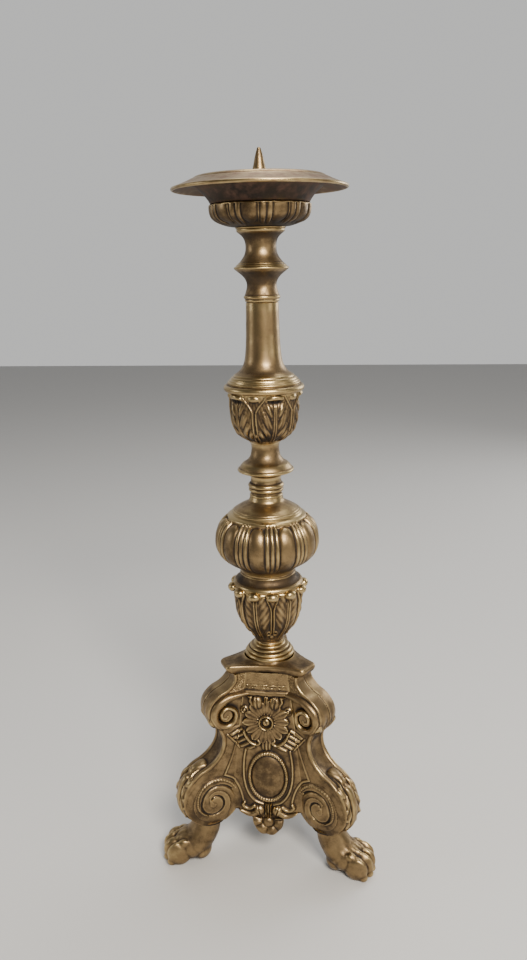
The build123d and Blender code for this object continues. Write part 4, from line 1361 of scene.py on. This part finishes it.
# %% Paw
CLAY = [  # centre along the foot, across it and up, then the three half sizes
    (52.5, 0, 31.0, 9.5, 10.6, 6.5), (53.5, 0, 27.5, 10.6, 10.8, 8.0), (55.0, 0, 24.0, 11.5, 11.2, 8.5),
    (57.0, 0, 20.5, 12.0, 11.6, 9.0), (59.5, 0, 17.0, 12.5, 12.0, 9.5), (62.5, 0, 14.0, 13.0, 12.2, 10.5),
    (58.5, 0, 8.4, 8.5, 10.5, 8.6), (66.0, 0, 12.5, 12.5, 12.6, 11.5),
]
for across in (-8.8, -3.0, 3.0, 8.8):
    reach = 2.7 if abs(across) < 5 else 0.1
    CLAY += [
        (74.5 + reach, across * 1.04, 9.8, 9.0, 3.9, 9.4),
        (70.5 + reach, across * 0.98, 17.3, 4.6, 3.0, 3.6),
        (80.0 + reach, across * 1.04, 3.9, 3.7, 2.3, 3.6),
    ]
start_clean()
bpy.ops.mesh.primitive_uv_sphere_add(segments=28, ring_count=18, radius=1)
ball = bpy.context.object
paw, *balls = [
    copy_of(ball, Matrix.Diagonal((a * MM, b * MM, c * MM, 1)), Matrix.Translation((x * MM, y * MM, z * MM)))
    for x, y, z, a, b, c in CLAY
]
bpy.data.objects.remove(ball)
paw.name = "paw_cast"
join_to(paw, balls)
apply_modifier(paw, "REMESH", mode="VOXEL", voxel_size=0.55 * MM)
apply_modifier(paw, "SMOOTH", factor=0.5, iterations=6)

# %% A smoother ankle, a hint of fur and a flat sole
ankle = paw.vertex_groups.new(name="ankle")
place, _ = points_of(paw)
ankle_share = ease(place[:, 2] - 0.9 * (place[:, 0] - 62), 14, 20)
for share in (0.25, 0.5, 1.0):
    ankle.add(np.flatnonzero(ankle_share >= share).tolist(), share, "REPLACE")
apply_modifier(paw, "SMOOTH", vertex_group="ankle", iterations=70)
paw.vertex_groups.clear()
place, normal = points_of(paw)
x, y, z = place.T
on_the_foot = ease(z, 11, 15) * (1 - ease(z, 20, 26)) * ease(x, 60, 68)
fur = 0.18 * np.sin(y * 1.5 + 0.9 * np.sin(x * 0.45)) * on_the_foot
place = place + normal * fur[:, None]
place[:, 2] = np.clip(place[:, 2], 0, SEAT)
set_points(paw, place)
close_up(paw, 60)

# %% A rounded plate between the ankle and the leg
start_clean()
bpy.ops.mesh.primitive_cylinder_add(vertices=96, radius=1, depth=1)
ankle_plate = bpy.context.object
with editing():
    bpy.ops.mesh.bevel(offset=0.3, segments=3, affect="EDGES")
ankle_plate.data.transform(Matrix.Diagonal((11.6 * MM, 10.9 * MM, 1.5 * MM, 1)))
ankle_plate.data.transform(Matrix.Translation((51.0 * MM, 0, (SEAT - 0.35) * MM)))
join_to(paw, [ankle_plate], smooth_angle=60)

# %% Three paws: the front ones are turned outwards at the ankle, and the rear one points straight back
ANKLE = Vector((51.5 * MM, 0, 0))
TURN_OUT = {"left": -16, "right": 16, "rear": 0}
for name, degrees_out in TURN_OUT.items():
    turn = Matrix.Rotation(radians(degrees_out), 4, "Z")
    foot = copy_of(paw, Matrix.Translation(ANKLE) @ turn @ Matrix.Translation(-ANKLE))
    finish_copies(foot, {"paw_" + name: CORNERS[name]}, "cast_brass")
bpy.data.objects.remove(paw)

# %% [markdown]
# ## Iron inside
# The tie rod, its spider, washer and nut and the paw studs never see polish. Their frame shapes are
# right as they are, so they only get an iron finish with a bloom of rust.

# %% Iron
iron = Finish("tie_iron")
rust_map = iron.blotches(7, detail=5)
speckle = iron.blotches(0.8, detail=3)
rust = (rust_map + speckle * 0.3).between(0.62, 0.86)
black = iron.blend(speckle.between(0.4, 0.7), (0.035, 0.032, 0.03, 1), (0.075, 0.068, 0.062, 1))
iron_colour = iron.blend(rust, black, (0.16, 0.062, 0.026, 1))
iron.feed(Base_Color=iron_colour, Metallic=1.0 - rust, Roughness=0.45 + rust * 0.4,
          Normal=iron.bump(speckle * 0.05))
INSIDE = {name: iron.material for name in ("tie_rod", "tie_spider", "tie_washer", "tie_nut", "paw_studs")}
INSIDE["cap_dowels"] = BRASS["turned_brass"]
for name, material in INSIDE.items():
    coat(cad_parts[name], material)
print("pieces left in their frame shapes:", len(INSIDE))

# %% [markdown]
# ## Floor, light and camera
# A plain pale floor, a large soft light from the right front, a weaker one from the left, and a broad
# one overhead. Metal shows what it mirrors, so their sizes matter as much as their strengths.

# %% Floor
start_clean()
bpy.ops.mesh.primitive_plane_add(size=6)
ground = bpy.context.object
ground.name = "floor"
pale = Finish("pale_floor")
pale.feed(Base_Color=(0.62, 0.61, 0.59, 1), Roughness=0.6)
ground.data.materials.append(pale.material)

# %% Lights: where each lamp stands, how large and strong it is, and its colour
WARM, COOL, WHITE = (1.0, 0.94, 0.85), (0.97, 0.97, 0.98), (1, 1, 1)
LAMPS = {
    "key_light": ((0.46, -0.95, 1.05), 0.45, 27, WARM),
    "right_light": ((1.3, -0.55, 0.55), 0.7, 2.2, WARM),
    "left_light": ((-1.4, -0.3, 0.6), 0.6, 3, COOL),
    "top_light": ((0.1, 0.35, 1.5), 0.8, 9, WHITE),
    "rear_light": ((0.9, 1.0, 0.6), 0.7, 6, WHITE),
}
MIDDLE = Vector((0, 0, 0.25))
for name, (place, size, power, colour) in LAMPS.items():
    start_clean()
    bpy.ops.object.light_add(type="AREA", location=place)
    lamp = bpy.context.object
    lamp.name = name
    lamp.data.size = size
    lamp.data.energy = power
    lamp.data.color = colour
    lamp.rotation_euler = (MIDDLE - Vector(place)).to_track_quat("-Z", "Y").to_euler()
print("lamps:", ", ".join(LAMPS))

# %% The room: pale ahead, where a lit wall would be, and dimmer behind whoever looks from the front
DIM_SIDE = (0.115, 0.115, 0.12, 1)
WALL_SIDE = (0.62, 0.62, 0.61, 1)
world = bpy.data.worlds.new("room")
bpy.context.scene.world = world
world.use_nodes = True
room = NodeTree(world.node_tree)
direction = room.node("ShaderNodeTexCoord", output="Generated")
ahead = room.node("ShaderNodeSeparateXYZ", None, {0: direction}, output="Y").between(-0.1, 0.75)
room.plug(room.tree.nodes["Background"].inputs["Color"], room.blend(ahead, DIM_SIDE, WALL_SIDE))

# %% Camera
LENS_MM = 30.4
CAMERA_DISTANCE = 0.539
CAMERA_HEIGHT = 0.430
CAMERA_AZIMUTH = radians(8.5)
LOOK_DOWN = radians(14.93)
LOOK_LEFT = radians(0.18)
HEAD_TILT = radians(-1.29)
start_clean()
bpy.ops.object.camera_add()
camera = bpy.context.object
camera.data.lens = LENS_MM
camera.data.sensor_width = 36
camera.data.clip_start = 0.02
stand_at = Matrix.Rotation(CAMERA_AZIMUTH, 4, "Z") @ Matrix.Translation((0, -CAMERA_DISTANCE, CAMERA_HEIGHT))
look = Matrix.Rotation(LOOK_LEFT, 4, "Z") @ Matrix.Rotation(pi / 2 - LOOK_DOWN, 4, "X")
camera.matrix_world = stand_at @ look @ Matrix.Rotation(HEAD_TILT, 4, "Z")
bpy.context.scene.camera = camera
print("camera at", [round(c, 3) for c in camera.matrix_world.translation])
